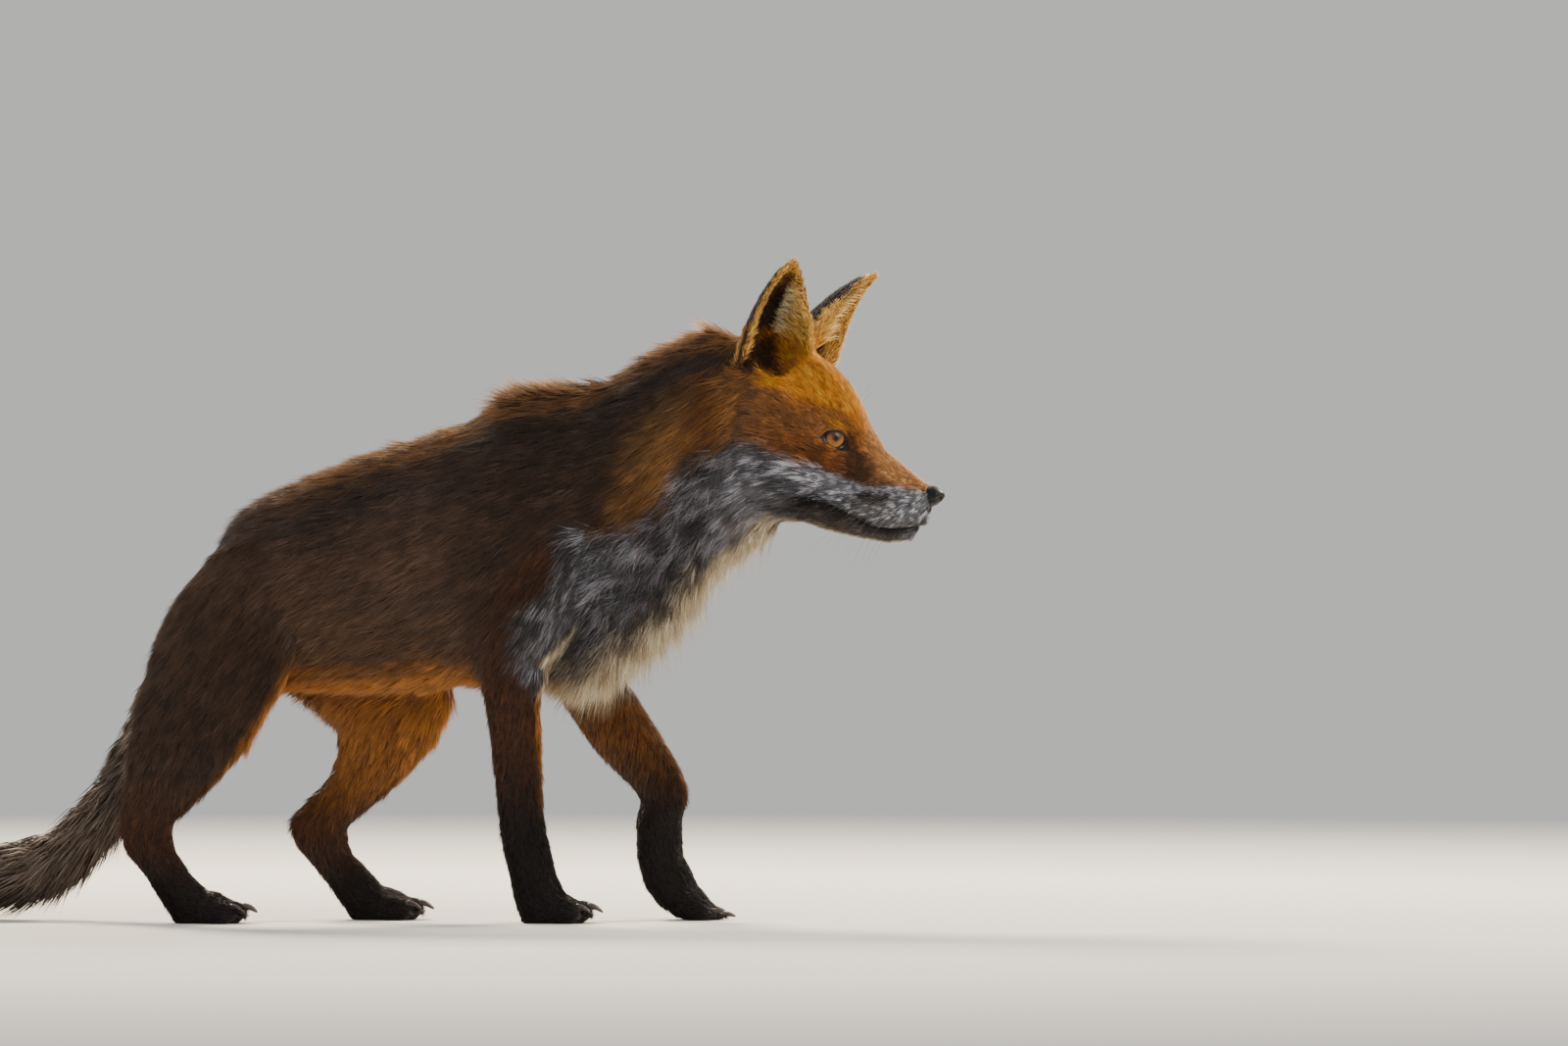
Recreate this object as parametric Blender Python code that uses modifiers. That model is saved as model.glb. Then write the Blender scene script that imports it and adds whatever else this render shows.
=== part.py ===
"""Red fox, life size, walking low with its head raised and turned a little to its right.

Frame: metres, +Z up, +X towards the nose, +Y to the fox's left. The origin is on the floor, under the
middle of the model's box. Every size below is in millimetres, measured from the point of the floor under
the right wrist, and the finished model is shifted onto its origin at the end.

The body is drawn as lofts through rings. A ring joins an upper or front outline point to a lower or back
one, and has a half width, so the outlines below are the coat's own, seen from the side. The lofts and some
balls are blended into one skin, which is then parted into named pieces by thin cuts.
"""

import math
from collections import namedtuple

import bmesh
import bpy
import numpy as np
from mathutils import Matrix, Vector

MM = 0.001
GAP = 0.3                    # clearance left at every cut
VOXEL = 2.4                  # grid of the blend that joins the lofts
BLEND_ROUNDS = 7             # smoothing rounds that round the joins
BODY_TRIANGLES = 3000        # what the blended body is reduced to
LOFT_SIDES = 24
LOFT_STEPS = 4               # rings between two drawn rings
CUTTER_SIDES = 10
CREASE = math.radians(60)    # sharper edges than this stay crisp

HEAD_YAW = math.radians(-12)         # the head turns a little to the fox's right
HEAD_PIVOT = Vector((154, 0, 0))     # upright axis through the joint of head and neck
HEAD_PLACE = Matrix.Translation(HEAD_PIVOT) @ Matrix.Rotation(HEAD_YAW, 4, "Z")
HEAD_PLACE_M = Matrix.Translation(HEAD_PIVOT * MM) @ Matrix.Rotation(HEAD_YAW, 4, "Z")

EYE_RADIUS = 8.8
EYE_CENTRE = (71.5, 22.2, 345)       # in the head's frame, left side
NOSE_CENTRE = (136.3, 0, 303.5)
NOSE_RADII = (10.4, 10.6, 8.4)
NOSTRIL = (9.4, 5.4, -0.8)           # from the nose's centre
EAR_HEIGHT = 84.5
EAR_RADIUS = 23.5
EAR_FLARE = 4.5              # how much wider it is at its root
EAR_THICKNESS = 4.2

COLOURS = {
    "rufous": (0.42, 0.17, 0.05),
    "brown": (0.20, 0.10, 0.05),
    "black": (0.02, 0.018, 0.018),
    "pale": (0.55, 0.50, 0.44),
    "amber": (0.50, 0.24, 0.04),
    "leather": (0.015, 0.015, 0.017),
}

# widest is how far up a ring it is broadest, and square is 2 for an ellipse and more for a fuller ring.
Ring = namedtuple("Ring", "top bottom y half_width widest square", defaults=(0.5, 2.0))

# Rump, back, shoulders and neck: top outline, underside, lateral centre, half width.
TRUNK = [
    Ring((-258, 222), (-264, 190), 0, 12),
    Ring((-246, 240), (-258, 160), 0, 33),
    Ring((-226, 268), (-237, 150), 0, 47),
    Ring((-198, 298), (-205, 152), 0, 53),
    Ring((-160, 317), (-165, 162), 0, 55),
    Ring((-112, 336), (-115, 161), 0, 54),
    Ring((-66, 350), (-69, 163), 0, 59, 0.46),
    Ring((-38, 361), (-39, 166), 0, 62, 0.45),
    Ring((-10, 379), (2, 166), 0, 61, 0.45),
    Ring((20, 384), (42, 164), 0, 58, 0.46),
    Ring((52, 387), (76, 184), 0, 53, 0.48),
    Ring((82, 403), (106, 210), 0, 48),
    Ring((107, 417), (134, 243), -1, 44),
    Ring((133, 427), (163, 268), -3, 42),
    Ring((158, 428), (188, 286), -6, 38),
]

# Head and muzzle in the head's frame, from inside the neck to behind the nose.
HEAD = [
    Ring((-22, 404), (-20, 322), 0, 24),
    Ring((-8, 422), (-6, 302), 0, 38, 0.42),
    Ring((10, 427), (10, 291), 0, 45, 0.40, 2.2),
    Ring((28, 422), (28, 286), 0, 47, 0.38, 2.4),
    Ring((47, 413), (47, 283), 0, 43, 0.38, 2.6),
    Ring((62, 402.5), (61, 280), 0, 36, 0.42, 2.7),
    Ring((74, 391), (72, 277), 0, 29.5, 0.48, 2.7),
    Ring((82, 380.5), (80, 275.5), 0, 25.5, 0.52, 2.6),
    Ring((88.5, 367.5), (87, 273.5), 0, 22.5, 0.54, 2.5),
    Ring((94, 354.5), (93, 272.5), 0, 20.5, 0.54, 2.4),
    Ring((100, 344.5), (99, 271.5), 0, 19, 0.52, 2.4),
    Ring((106, 335.5), (106, 270.5), 0, 17.8, 0.48, 2.4),
    Ring((115, 328), (115, 271.5), 0, 16.8, 0.46, 2.4),
    Ring((123.5, 321.5), (123.5, 275.5), 0, 15.4, 0.46, 2.4),
    Ring((131, 316), (131.5, 281.5), 0, 13.2, 0.48, 2.3),
    Ring((137, 312), (137, 288), 0, 10.5),
]

# Front and back outlines of each leg, from the shoulder or hip to the paw.
FORELEG_RIGHT = [
    Ring((55, 292), (5, 316), -34, 13),
    Ring((62, 255), (-25, 270), -38, 22),
    Ring((46, 214), (-36, 222), -40, 25),
    Ring((23, 186), (-35, 191), -39, 24),
    Ring((13, 163), (-31, 163), -38, 21),
    Ring((12.6, 135), (-26.6, 135), -36, 17.5),
    Ring((13.3, 104), (-23, 104), -34.5, 16),
    Ring((15, 73), (-20.3, 74), -33, 16),
    Ring((18, 53), (-17.5, 56), -32, 16),
    Ring((22, 36), (-12, 34), -32, 16.5),
    Ring((28, 22), (-8, 14), -32, 17.5),
    Ring((32, 8), (-2, -3), -32, 17),
]
FORELEG_LEFT = [
    Ring((84, 272), (35, 298), 34, 13),
    Ring((84, 236), (8, 250), 38, 22),
    Ring((74, 205), (4, 206), 40, 25),
    Ring((68, 181), (19, 168), 39, 23),
    Ring((86, 150.5), (40, 131), 37.5, 19.5),
    Ring((101.5, 125), (59, 109.5), 36, 17.5),
    Ring((113.5, 104), (73, 96), 34.5, 16.5),
    Ring((116, 88), (80.5, 84), 34, 16),
    Ring((111.5, 72), (77.5, 67), 33, 15.5),
    Ring((112, 50), (79, 43), 33, 16),
    Ring((119, 32), (85, 22), 33, 17.5),
    Ring((127, 18), (97, 7), 33, 16.5),
]
HINDLEG_RIGHT = [
    Ring((-168, 288), (-226, 268), -30, 13),
    Ring((-148, 246), (-254, 226), -33, 22),
    Ring((-150, 205), (-268, 190), -36, 24),
    Ring((-166, 173), (-277, 160), -37.5, 23),
    Ring((-182, 145), (-284, 128), -38, 21.5),
    Ring((-203, 117), (-287, 101), -38, 19),
    Ring((-226, 92), (-289, 83), -37, 16.5),
    Ring((-246, 73), (-290, 69), -36, 15.5),
    Ring((-250, 57), (-286, 52), -35, 14.5),
    Ring((-240, 38), (-273, 36), -35, 14.5),
    Ring((-226, 23), (-261, 17), -35, 16),
    Ring((-214, 9), (-249, -2), -35, 16.5),
]
HINDLEG_LEFT = [
    Ring((-135, 285), (-212, 262), 30, 13),
    Ring((-98, 245), (-232, 215), 34, 22),
    Ring((-64, 206), (-205, 176), 37.5, 24),
    Ring((-48, 169), (-165, 161), 39, 23),
    Ring((-57, 138), (-140.5, 140), 38.5, 21),
    Ring((-76, 112), (-140, 112), 38, 18.5),
    Ring((-101, 88), (-153, 93), 37, 16.5),
    Ring((-124, 69), (-169, 74), 36, 15.5),
    Ring((-128, 55), (-168, 56), 35.5, 14.5),
    Ring((-116, 38), (-152, 36), 35, 14.5),
    Ring((-102, 23), (-138, 17), 35, 16),
    Ring((-90, 9), (-125, -2), 35, 16.5),
]

# Centre line of the tail: x, y, z and radius. It hangs from the rump past the right leg, then trails.
TAIL = [
    (-240, 0, 226, 14),
    (-252, 3, 196, 18),
    (-260, 10, 160, 19.5),
    (-275, 17, 122, 20.5),
    (-295, 21, 89, 21.5),
    (-312, 23, 66, 22.5),
    (-332, 24, 48, 24),
    (-358, 24, 36, 25),
    (-392, 22, 31, 25.5),
    (-430, 18, 31, 22.5),
    (-464, 14, 35, 15),
    (-486, 11, 40, 4),
]

# The middle of each paw's pad, and how far the toes reach and dip from there.
PAWS = {
    "forepaw_right": (18, -32, 10.5, 0),
    "forepaw_left": (113, 33, 14, 24),
    "hindpaw_right": (-228, -35, 10.5, 0),
    "hindpaw_left": (-104, 35, 10.5, 0),
}
PAD_RADII = (19, 18, 13.5)
# Toe centres ahead of the pad's middle and beside it, then the toe's radii.
TOES = [(16, -6.8), (16, 6.8), (8, -15.6), (8, 15.6)]
TOE_RADII = (14.5, 7.6, 10)
TOE_DROP = -2.6
CLAW_LENGTH = 9
CLAW_RADIUS = 2.6

# Balls that fill out the head: centre in its frame on the left side, radii.
HEAD_BALLS = {
    "cheek": ((36, 29, 320), (30, 18, 27)),
    "jaw_muscle": ((44, 21, 301), (26, 15, 17)),
    "brow": ((64, 18, 363), (15, 10, 9)),
    "cheekbone": ((62, 22, 330), (20, 11, 10)),
    "whisker_pad": ((112, 9, 295.5), (18, 9.2, 11.5)),
    "ear_root": ((26, 26, 385), (25, 20, 24)),
}
CHIN = ((116, 0, 279.5), (13.5, 10, 8))

# Where the mouth is cut, in the head's frame: its corner, and how steeply the lips fall towards the chin.
MOUTH_CORNER = (60, 302)
MOUTH_FALL = 0.31
JAW_LENGTH = 84


def clear_scene():
    for obj in list(bpy.data.objects):
        bpy.data.objects.remove(obj)


def collection(name):
    made = bpy.data.collections.new(name)
    bpy.context.scene.collection.children.link(made)
    return made


def new_object(name, mesh, where):
    obj = bpy.data.objects.new(name, mesh)
    where.objects.link(obj)
    return obj


def evaluated_copy(name, obj, where):
    """A plain mesh object of what obj's modifiers make."""
    bpy.context.view_layer.update()
    graph = bpy.context.evaluated_depsgraph_get()
    mesh = bpy.data.meshes.new_from_object(obj.evaluated_get(graph))
    mesh.transform(obj.matrix_world)
    return new_object(name, mesh, where)


def smooth_rings(rings, steps):
    """Catmull-Rom through the rings, as rows of their numbers in order."""
    rows = np.array([[*r.top, *r.bottom, *r[2:]] for r in rings], float)
    padded = np.vstack([2 * rows[0] - rows[1], rows, 2 * rows[-1] - rows[-2]])
    found = []
    for a, b, c, d in zip(padded, padded[1:], padded[2:], padded[3:]):
        for t in np.arange(steps) / steps:
            found.append(
                0.5 * (2 * b + (c - a) * t + (2 * a - 5 * b + 4 * c - d) * t**2
                       + (3 * b - a - 3 * c + d) * t**3)
            )
    return np.array([*found, rows[-1]])


def ring_points(row, sides, grow):
    """The points of one ring, an egg shape between its top and bottom."""
    top_x, top_z, bottom_x, bottom_z, y, half_width, widest, square = row
    top = np.array([top_x, y, top_z])
    bottom = np.array([bottom_x, y, bottom_z])
    length = np.linalg.norm(top - bottom)
    up = (top - bottom) / length
    middle = bottom + up * length * widest
    points = []
    for k in range(sides):
        turn = 2 * math.pi * k / sides
        rise, side = (math.copysign(abs(f) ** (2 / square), f) for f in (math.sin(turn), math.cos(turn)))
        reach = length * (1 - widest if rise > 0 else widest) + grow
        points.append(middle + up * rise * reach + np.array([0, side * (half_width + grow), 0]))
    return points


def loft(name, rings, where, place=None, sides=LOFT_SIDES, steps=LOFT_STEPS, grow=0.0):
    """A closed tube through the rings, with a domed cap at each end."""
    place = place or Matrix.Identity(4)
    rows = smooth_rings(rings, steps)
    bm = bmesh.new()
    loops = []
    for row in rows:
        loops.append([bm.verts.new(place @ Vector(p) * MM) for p in ring_points(row, sides, grow)])
    for lower, upper in zip(loops, loops[1:]):
        for k in range(sides):
            after = (k + 1) % sides
            bm.faces.new((lower[k], lower[after], upper[after], upper[k]))
    for loop, inner in ((loops[0], loops[1]), (loops[-1], loops[-2])):
        middle = sum((v.co for v in loop), Vector()) / sides
        inward = sum((v.co for v in inner), Vector()) / sides
        bulge = (middle - inward).normalized() * (grow + 0.5) * MM
        pole = bm.verts.new(middle + bulge)
        for k in range(sides):
            bm.faces.new((loop[k], loop[(k + 1) % sides], pole))
    bmesh.ops.triangulate(bm, faces=bm.faces)
    bmesh.ops.recalc_face_normals(bm, faces=bm.faces)
    mesh = bpy.data.meshes.new(name)
    bm.to_mesh(mesh)
    bm.free()
    return new_object(name, mesh, where)


def round_rings(centre_line):
    """Rings square to a centre line of x, y, z and radius."""
    points = np.array(centre_line, float)
    along = np.gradient(points[:, [0, 2]], axis=0)
    along /= np.linalg.norm(along, axis=1)[:, None]
    rings = []
    for (x, y, z, radius), (dx, dz) in zip(points, along):
        top = (x + dz * radius, z - dx * radius)
        bottom = (x - dz * radius, z + dx * radius)
        rings.append(Ring(top, bottom, y, radius))
    return rings


def ball(name, centre, radii, where, place=None, turn=0.0, segments=20):
    """An ellipsoid, its front dipped by turn degrees."""
    bm = bmesh.new()
    bmesh.ops.create_uvsphere(bm, u_segments=segments, v_segments=segments // 2 + 2, radius=1)
    bm.transform(Matrix.Diagonal((*(r * MM for r in radii), 1)))
    bm.transform(Matrix.Rotation(math.radians(turn), 4, "Y"))
    bm.transform(Matrix.Translation(Vector(centre) * MM))
    if place:
        bm.transform(Matrix.Translation(place.translation * MM) @ place.to_3x3().to_4x4())
    mesh = bpy.data.meshes.new(name)
    bm.to_mesh(mesh)
    bm.free()
    return new_object(name, mesh, where)


def mirrored(point, side):
    """A point given for the left side, put on that side: 1 is left and -1 is right."""
    return (point[0], side * point[1], point[2])


def toe_place(paw, toe):
    """Turns a place in a level paw to where that toe is, with the paw's dip."""
    x, y, z, dip = PAWS[paw]
    turn = Matrix.Rotation(math.radians(dip), 4, "Y")
    splay = Matrix.Rotation(math.radians(toe[1] * 0.9), 4, "Z")
    return Matrix.Translation((x, y, z)) @ turn @ Matrix.Translation((toe[0], toe[1], TOE_DROP)) @ splay


def forms(where):
    """Every loft and ball that the body is blended from."""
    made = [
        loft("trunk_form", TRUNK, where),
        loft("head_form", HEAD, where, place=HEAD_PLACE),
        loft("tail_form", round_rings(TAIL), where),
        ball("chin_form", *CHIN, where, place=HEAD_PLACE),
    ]
    for name, rings in LEGS.items():
        made.append(loft(name + "_form", rings, where))
    for name, (centre, radii) in HEAD_BALLS.items():
        for side in (1, -1):
            made.append(ball(name, mirrored(centre, side), radii, where, place=HEAD_PLACE))
    for paw, (x, y, z, dip) in PAWS.items():
        made.append(ball(paw + "_pad", (x, y, z), PAD_RADII, where, turn=dip))
        for toe in TOES:
            made.append(ball(paw + "_toe", (0, 0, 0), TOE_RADII, where, place=toe_place(paw, toe)))
    return made


LEGS = {
    "foreleg_right": FORELEG_RIGHT,
    "foreleg_left": FORELEG_LEFT,
    "hindleg_right": HINDLEG_RIGHT,
    "hindleg_left": HINDLEG_LEFT,
}


def joined(name, objects, where):
    bm = bmesh.new()
    for obj in objects:
        bm.from_mesh(obj.data)
        bpy.data.objects.remove(obj)
    mesh = bpy.data.meshes.new(name)
    bm.to_mesh(mesh)
    bm.free()
    return new_object(name, mesh, where)


def blended_body(where):
    """One closed skin round all the forms, with its joins rounded."""
    body = joined("body", forms(where), where)
    remesh = body.modifiers.new("blend", "REMESH")
    remesh.mode = "VOXEL"
    remesh.voxel_size = VOXEL * MM
    relax = body.modifiers.new("round the joins", "SMOOTH")
    relax.factor = 0.5
    relax.iterations = BLEND_ROUNDS
    fine = evaluated_copy("fine_body", body, where)
    bpy.data.objects.remove(body)
    reduce = fine.modifiers.new("fewer facets", "DECIMATE")
    reduce.ratio = BODY_TRIANGLES / (2 * len(fine.data.polygons))
    reduce.use_collapse_triangulate = True
    reduced = evaluated_copy("reduced_body", fine, where)
    bpy.data.objects.remove(fine)
    return reduced


def largest_island(obj):
    """Drops the crumbs that a cut leaves beside the piece."""
    bm = bmesh.new()
    bm.from_mesh(obj.data)
    left = set(bm.verts)
    islands = []
    while left:
        todo = [left.pop()]
        island = set(todo)
        while todo:
            for edge in todo.pop().link_edges:
                for vertex in edge.verts:
                    if vertex not in island:
                        island.add(vertex)
                        todo.append(vertex)
        left -= island
        islands.append(island)
    islands.sort(key=len)
    for island in islands[:-1]:
        bmesh.ops.delete(bm, geom=list(island), context="VERTS")
    bm.to_mesh(obj.data)
    bm.free()


def boolean(name, obj, cutter, operation, where):
    modifier = obj.modifiers.new(operation, "BOOLEAN")
    modifier.operation = operation
    modifier.solver = "EXACT"
    modifier.object = cutter
    made = evaluated_copy(name, obj, where)
    obj.modifiers.remove(modifier)
    largest_island(made)
    return made


def part_off(name, rest, tight, wide, where):
    """Cuts rest in two: what lies inside the tight cutter, and what lies outside the wide one."""
    piece = boolean(name, rest, tight, "INTERSECT", where)
    remainder = boolean(rest.name + "_rest", rest, wide, "DIFFERENCE", where)
    for obj in (rest, tight, wide):
        bpy.data.objects.remove(obj)
    return piece, remainder


def block(name, point, normal, size, where, shift=0.0):
    """A box whose face is centred on the point and square to the normal, and which reaches back from it."""
    normal = Vector(normal).normalized()
    across = Vector((0, 1, 0))
    across = (across - normal * across.dot(normal)).normalized()
    turn = Matrix((across.cross(normal), across, normal)).transposed().to_4x4()
    bm = bmesh.new()
    bmesh.ops.create_cube(bm, size=1)
    bm.transform(Matrix.Translation((0, 0, -0.5)))
    bm.transform(Matrix.Diagonal((*(s * MM for s in size), 1)))
    bm.transform(Matrix.Translation((0, 0, shift * MM)))
    bm.transform(Matrix.Translation(Vector(point) * MM) @ turn)
    mesh = bpy.data.meshes.new(name)
    bm.to_mesh(mesh)
    bm.free()
    return new_object(name, mesh, where)


def part_by_plane(name, rest, point, normal, where, size=(300, 300, 400)):
    """Parts off what lies behind a plane, within a block of that size."""
    tight = block("tight", point, normal, size, where)
    wide = block("wide", point, normal, [s + 2 * GAP for s in size], where, shift=GAP)
    return part_off(name, rest, tight, wide, where)


def part_by_loft(name, rest, rings, where, grow):
    """Parts off what lies inside a loft grown by that much."""
    tight = loft("tight", rings, where, sides=CUTTER_SIDES, steps=1, grow=grow)
    wide = grown_copy(tight, 1.6 * GAP, where)
    return part_off(name, rest, tight, wide, where)


def ear_sheet(name, base, tip, facing, where):
    """A tapering gutter from the base to the tip, open towards the facing side, given its thickness."""
    rows, columns = 8, 6
    axis = (Vector(tip) - Vector(base)).normalized()
    facing = Vector(facing)
    facing = (facing - axis * facing.dot(axis)).normalized()
    side = axis.cross(facing)
    start = Vector(base) - axis * 10
    height = EAR_HEIGHT + 10
    bm = bmesh.new()
    grid = []
    for i in range(rows + 1):
        t = i / rows
        radius = EAR_RADIUS * max(1 - t**2.3, 0) ** 0.78 + EAR_FLARE * (1 - t) ** 2 + 1.6
        wrap = math.radians(112 - 52 * t) * min(0.6 + 1.5 * t, 1)
        lean = facing * (6 * t * t)
        line = []
        for j in range(columns + 1):
            turn = wrap * (2 * j / columns - 1)
            out = side * math.sin(turn) - facing * math.cos(turn)
            line.append(bm.verts.new((start + axis * height * t + out * radius + lean) * MM))
        grid.append(line)
    for lower, upper in zip(grid, grid[1:]):
        for j in range(columns):
            bm.faces.new((lower[j], lower[j + 1], upper[j + 1], upper[j]))
    bmesh.ops.recalc_face_normals(bm, faces=bm.faces)
    mesh = bpy.data.meshes.new(name)
    bm.to_mesh(mesh)
    bm.free()
    sheet = new_object(name, mesh, where)
    wall = sheet.modifiers.new("wall", "SOLIDIFY")
    wall.thickness = EAR_THICKNESS * MM
    wall.offset = 0
    made = evaluated_copy(name + "_wall", sheet, where)
    bpy.data.objects.remove(sheet)
    return made


# Base, tip and facing of each ear. The right one is turned out to the side, the left one ahead.
EARS = {
    "ear_right": ((177.5, -35, 394), (189.5, -64, 472.5), (0.45, -0.89, 0.10)),
    "ear_left": ((204, 16, 392), (251, 31, 472), (0.86, -0.34, -0.50)),
}
EAR_HOLLOW = (30, 19, 20)    # the hollow's reach along the ear, across it and into the head


def ear_hollow(base, tip, facing, where):
    """The ball that opens the head at the root of an ear."""
    axis = (Vector(tip) - Vector(base)).normalized()
    facing = Vector(facing)
    facing = (facing - axis * facing.dot(axis)).normalized()
    turn = Matrix((axis, facing.cross(axis), facing)).transposed().to_4x4()
    made = ball("ear_hollow", (0, 0, 0), EAR_HOLLOW, where, segments=12)
    middle = Vector(base) + axis * 24 + facing * 2
    made.data.transform(Matrix.Translation(middle * MM) @ turn)
    return made


def grown_copy(obj, amount, where):
    """A copy of obj, moved out along its normals by that many millimetres."""
    copy = new_object("grown", obj.data.copy(), where)
    swell = copy.modifiers.new("swell", "DISPLACE")
    swell.strength = amount * MM
    swell.mid_level = 0
    made = evaluated_copy("grown_mesh", copy, where)
    bpy.data.objects.remove(copy)
    return made


def subtract(name, obj, cutter, where):
    made = boolean(name, obj, cutter, "DIFFERENCE", where)
    bpy.data.objects.remove(obj)
    bpy.data.objects.remove(cutter)
    return made


def add_claws(paw, name, where):
    """Joins a short cone to the end of each toe."""
    for toe in TOES:
        bm = bmesh.new()
        bmesh.ops.create_cone(
            bm, cap_ends=True, segments=6, radius1=CLAW_RADIUS * MM, radius2=0.6 * MM,
            depth=(CLAW_LENGTH + 6) * MM,
        )
        bm.transform(Matrix.Rotation(math.radians(90 + 20 - 1.9 * PAWS[name][3]), 4, "Y"))
        bm.transform(Matrix.Translation(Vector((TOE_RADII[0] - 1.5, 0, 3.2)) * MM))
        place = toe_place(name, toe)
        bm.transform(Matrix.Translation(place.translation * MM) @ place.to_3x3().to_4x4())
        mesh = bpy.data.meshes.new("claw")
        bm.to_mesh(mesh)
        bm.free()
        claw = new_object("claw", mesh, where)
        joint = boolean(name, paw, claw, "UNION", where)
        bpy.data.objects.remove(paw)
        bpy.data.objects.remove(claw)
        paw = joint
    return paw


def nose_ball(name, where, grow=0.0):
    """The bare nose, narrower below, as a ball of its radii."""
    made = ball(name, (0, 0, 0), [r + grow for r in NOSE_RADII], where, segments=14)
    for vertex in made.data.vertices:
        if vertex.co.z < 0:
            vertex.co.y *= 1 + 18 * vertex.co.z
    made.data.transform(HEAD_PLACE_M @ Matrix.Translation(Vector(NOSE_CENTRE) * MM))
    return made


def nose(where):
    """The bare nose with its two nostrils."""
    pad = nose_ball("nose_pad", where)
    for side in (1, -1):
        place = [c + n for c, n in zip(NOSE_CENTRE, mirrored(NOSTRIL, side))]
        hollow = ball("nostril", place, (3.4, 2.1, 1.8), where, place=HEAD_PLACE, segments=8)
        pad = subtract("nose_pad", pad, hollow, where)
    return pad


def eye(name, side, where, grow=0.0):
    radius = EYE_RADIUS + grow
    return ball(name, mirrored(EYE_CENTRE, side), (radius,) * 3, where, place=HEAD_PLACE, segments=12)


# Where each leg is parted: a point above the paw and the slope of that cut, then the knee or elbow's.
LEG_JOINTS = {
    "foreleg_right": [(10, -32, 60), 0.1, (-10, -38, 178), 0.1],
    "foreleg_left": [(108, 33, 86), 0.1, (44, 38, 172), 0.5],
    "hindleg_right": [(-240, -35, 62), -0.2, (-232, -38, 146), -0.35],
    "hindleg_left": [(-116, 35, 62), -0.2, (-105, 38, 146), -0.2],
}
PAW_BLOCK = (124, 64, 120)
LEG_PARTS = {
    "foreleg": ("upper_arm", "forearm", "forepaw"),
    "hindleg": ("thigh", "shank", "hindpaw"),
}


def finish(obj, name, colour, material_name, where):
    """Names a finished piece, gives it its material and moves it onto the model's origin."""
    obj.name = name
    obj.data.name = name
    if obj.name not in where.objects:
        for other in list(obj.users_collection):
            other.objects.unlink(obj)
        where.objects.link(obj)
    material = bpy.data.materials.get(material_name) or bpy.data.materials.new(material_name)
    material.use_nodes = True
    shader = material.node_tree.nodes["Principled BSDF"]
    shader.inputs["Base Color"].default_value = (*COLOURS[colour], 1)
    shader.inputs["Roughness"].default_value = 0.25 if colour in ("amber", "leather") else 0.85
    obj.data.materials.clear()
    obj.data.materials.append(material)
    obj.data.shade_smooth()
    obj.data.set_sharp_from_angle(angle=CREASE)


def main():
    clear_scene()
    bench = collection("bench")
    fox = collection("red_fox")
    pieces = {}

    body = blended_body(bench)
    floor = block("floor_cut", (0, 0, 0), (0, 0, -1), (1400, 400, 900), bench)
    standing = boolean("standing", body, floor, "INTERSECT", bench)
    for obj in (body, floor):
        bpy.data.objects.remove(obj)

    for shape in EARS.values():
        standing = subtract("standing", standing, ear_hollow(*shape, bench), bench)
    around_body = grown_copy(standing, GAP, bench)

    head, rest = part_by_plane("head", standing, (160, 0, 378), (-0.976, 0, 0.20), bench)
    tail, rest = part_by_loft("tail", rest, round_rings(TAIL[1:]), bench, grow=4.5)
    for leg, rings in LEGS.items():
        kind, side = leg.split("_")
        upper, middle, paw = LEG_PARTS[kind]
        heel, heel_slope, knee, knee_slope = LEG_JOINTS[leg]
        pieces[f"{paw}_{side}"], rest = part_by_plane(
            paw, rest, heel, (-heel_slope, 0, 1), bench, size=PAW_BLOCK
        )
        piece, rest = part_by_loft(leg, rest, rings, bench, grow=3.0)
        pieces[f"{middle}_{side}"], pieces[f"{upper}_{side}"] = part_by_plane(
            middle, piece, knee, (-knee_slope, 0, 1), bench
        )
    pieces["neck"], pieces["trunk"] = part_by_plane("neck", rest, (66, 0, 290), (-0.965, 0, 0.26), bench)
    pieces["tail_tip"], tail = part_by_plane("tail_tip", tail, (-430, 0, 30), (1, 0, 0), bench)
    pieces["tail_brush"], pieces["tail_root"] = part_by_plane(
        "tail_brush", tail, (-284, 0, 108), (0.42, 0, 0.9), bench
    )

    pieces["nose"] = nose(bench)
    head = subtract("head", head, nose_ball("nose_bed", bench, grow=GAP), bench)
    for name, side in (("eye_left", 1), ("eye_right", -1)):
        head = subtract("head", head, eye("socket", side, bench, grow=GAP), bench)
        pieces[name] = eye(name, side, bench)
    for name, (base, tip, facing) in EARS.items():
        sheet = ear_sheet(name, base, tip, facing, bench)
        pieces[name] = boolean(name, sheet, around_body, "DIFFERENCE", bench)
        bpy.data.objects.remove(sheet)
    corner_x, corner_z = MOUTH_CORNER
    reach = JAW_LENGTH / 2
    lips = HEAD_PLACE @ Vector((corner_x + reach, 0, corner_z - MOUTH_FALL * reach))
    across_lips = HEAD_PLACE.to_3x3() @ Vector((MOUTH_FALL, 0, 1))
    pieces["lower_jaw"], pieces["head"] = part_by_plane(
        "lower_jaw", head, lips, across_lips, bench, size=(JAW_LENGTH, 70, 50)
    )
    for name in PAWS:
        pieces[name] = add_claws(pieces[name], name, bench)

    for name, obj in pieces.items():
        kind = name.rsplit("_", 1)[0] if name.endswith(("_left", "_right")) else name
        colour, material = FINISHES.get(kind, ("rufous", "rufous coat"))
        finish(obj, name, colour, material, fox)
    for obj in list(bench.objects):
        bpy.data.objects.remove(obj)
    bpy.data.collections.remove(bench)
    put_on_origin(fox)


FINISHES = {
    "forepaw": ("black", "black stocking"),
    "hindpaw": ("black", "black stocking"),
    "ear": ("black", "ear velvet"),
    "eye": ("amber", "eye"),
    "nose": ("leather", "nose leather"),
    "lower_jaw": ("pale", "pale coat"),
    "trunk": ("brown", "brown coat"),
    "tail_brush": ("brown", "brown coat"),
}


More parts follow.
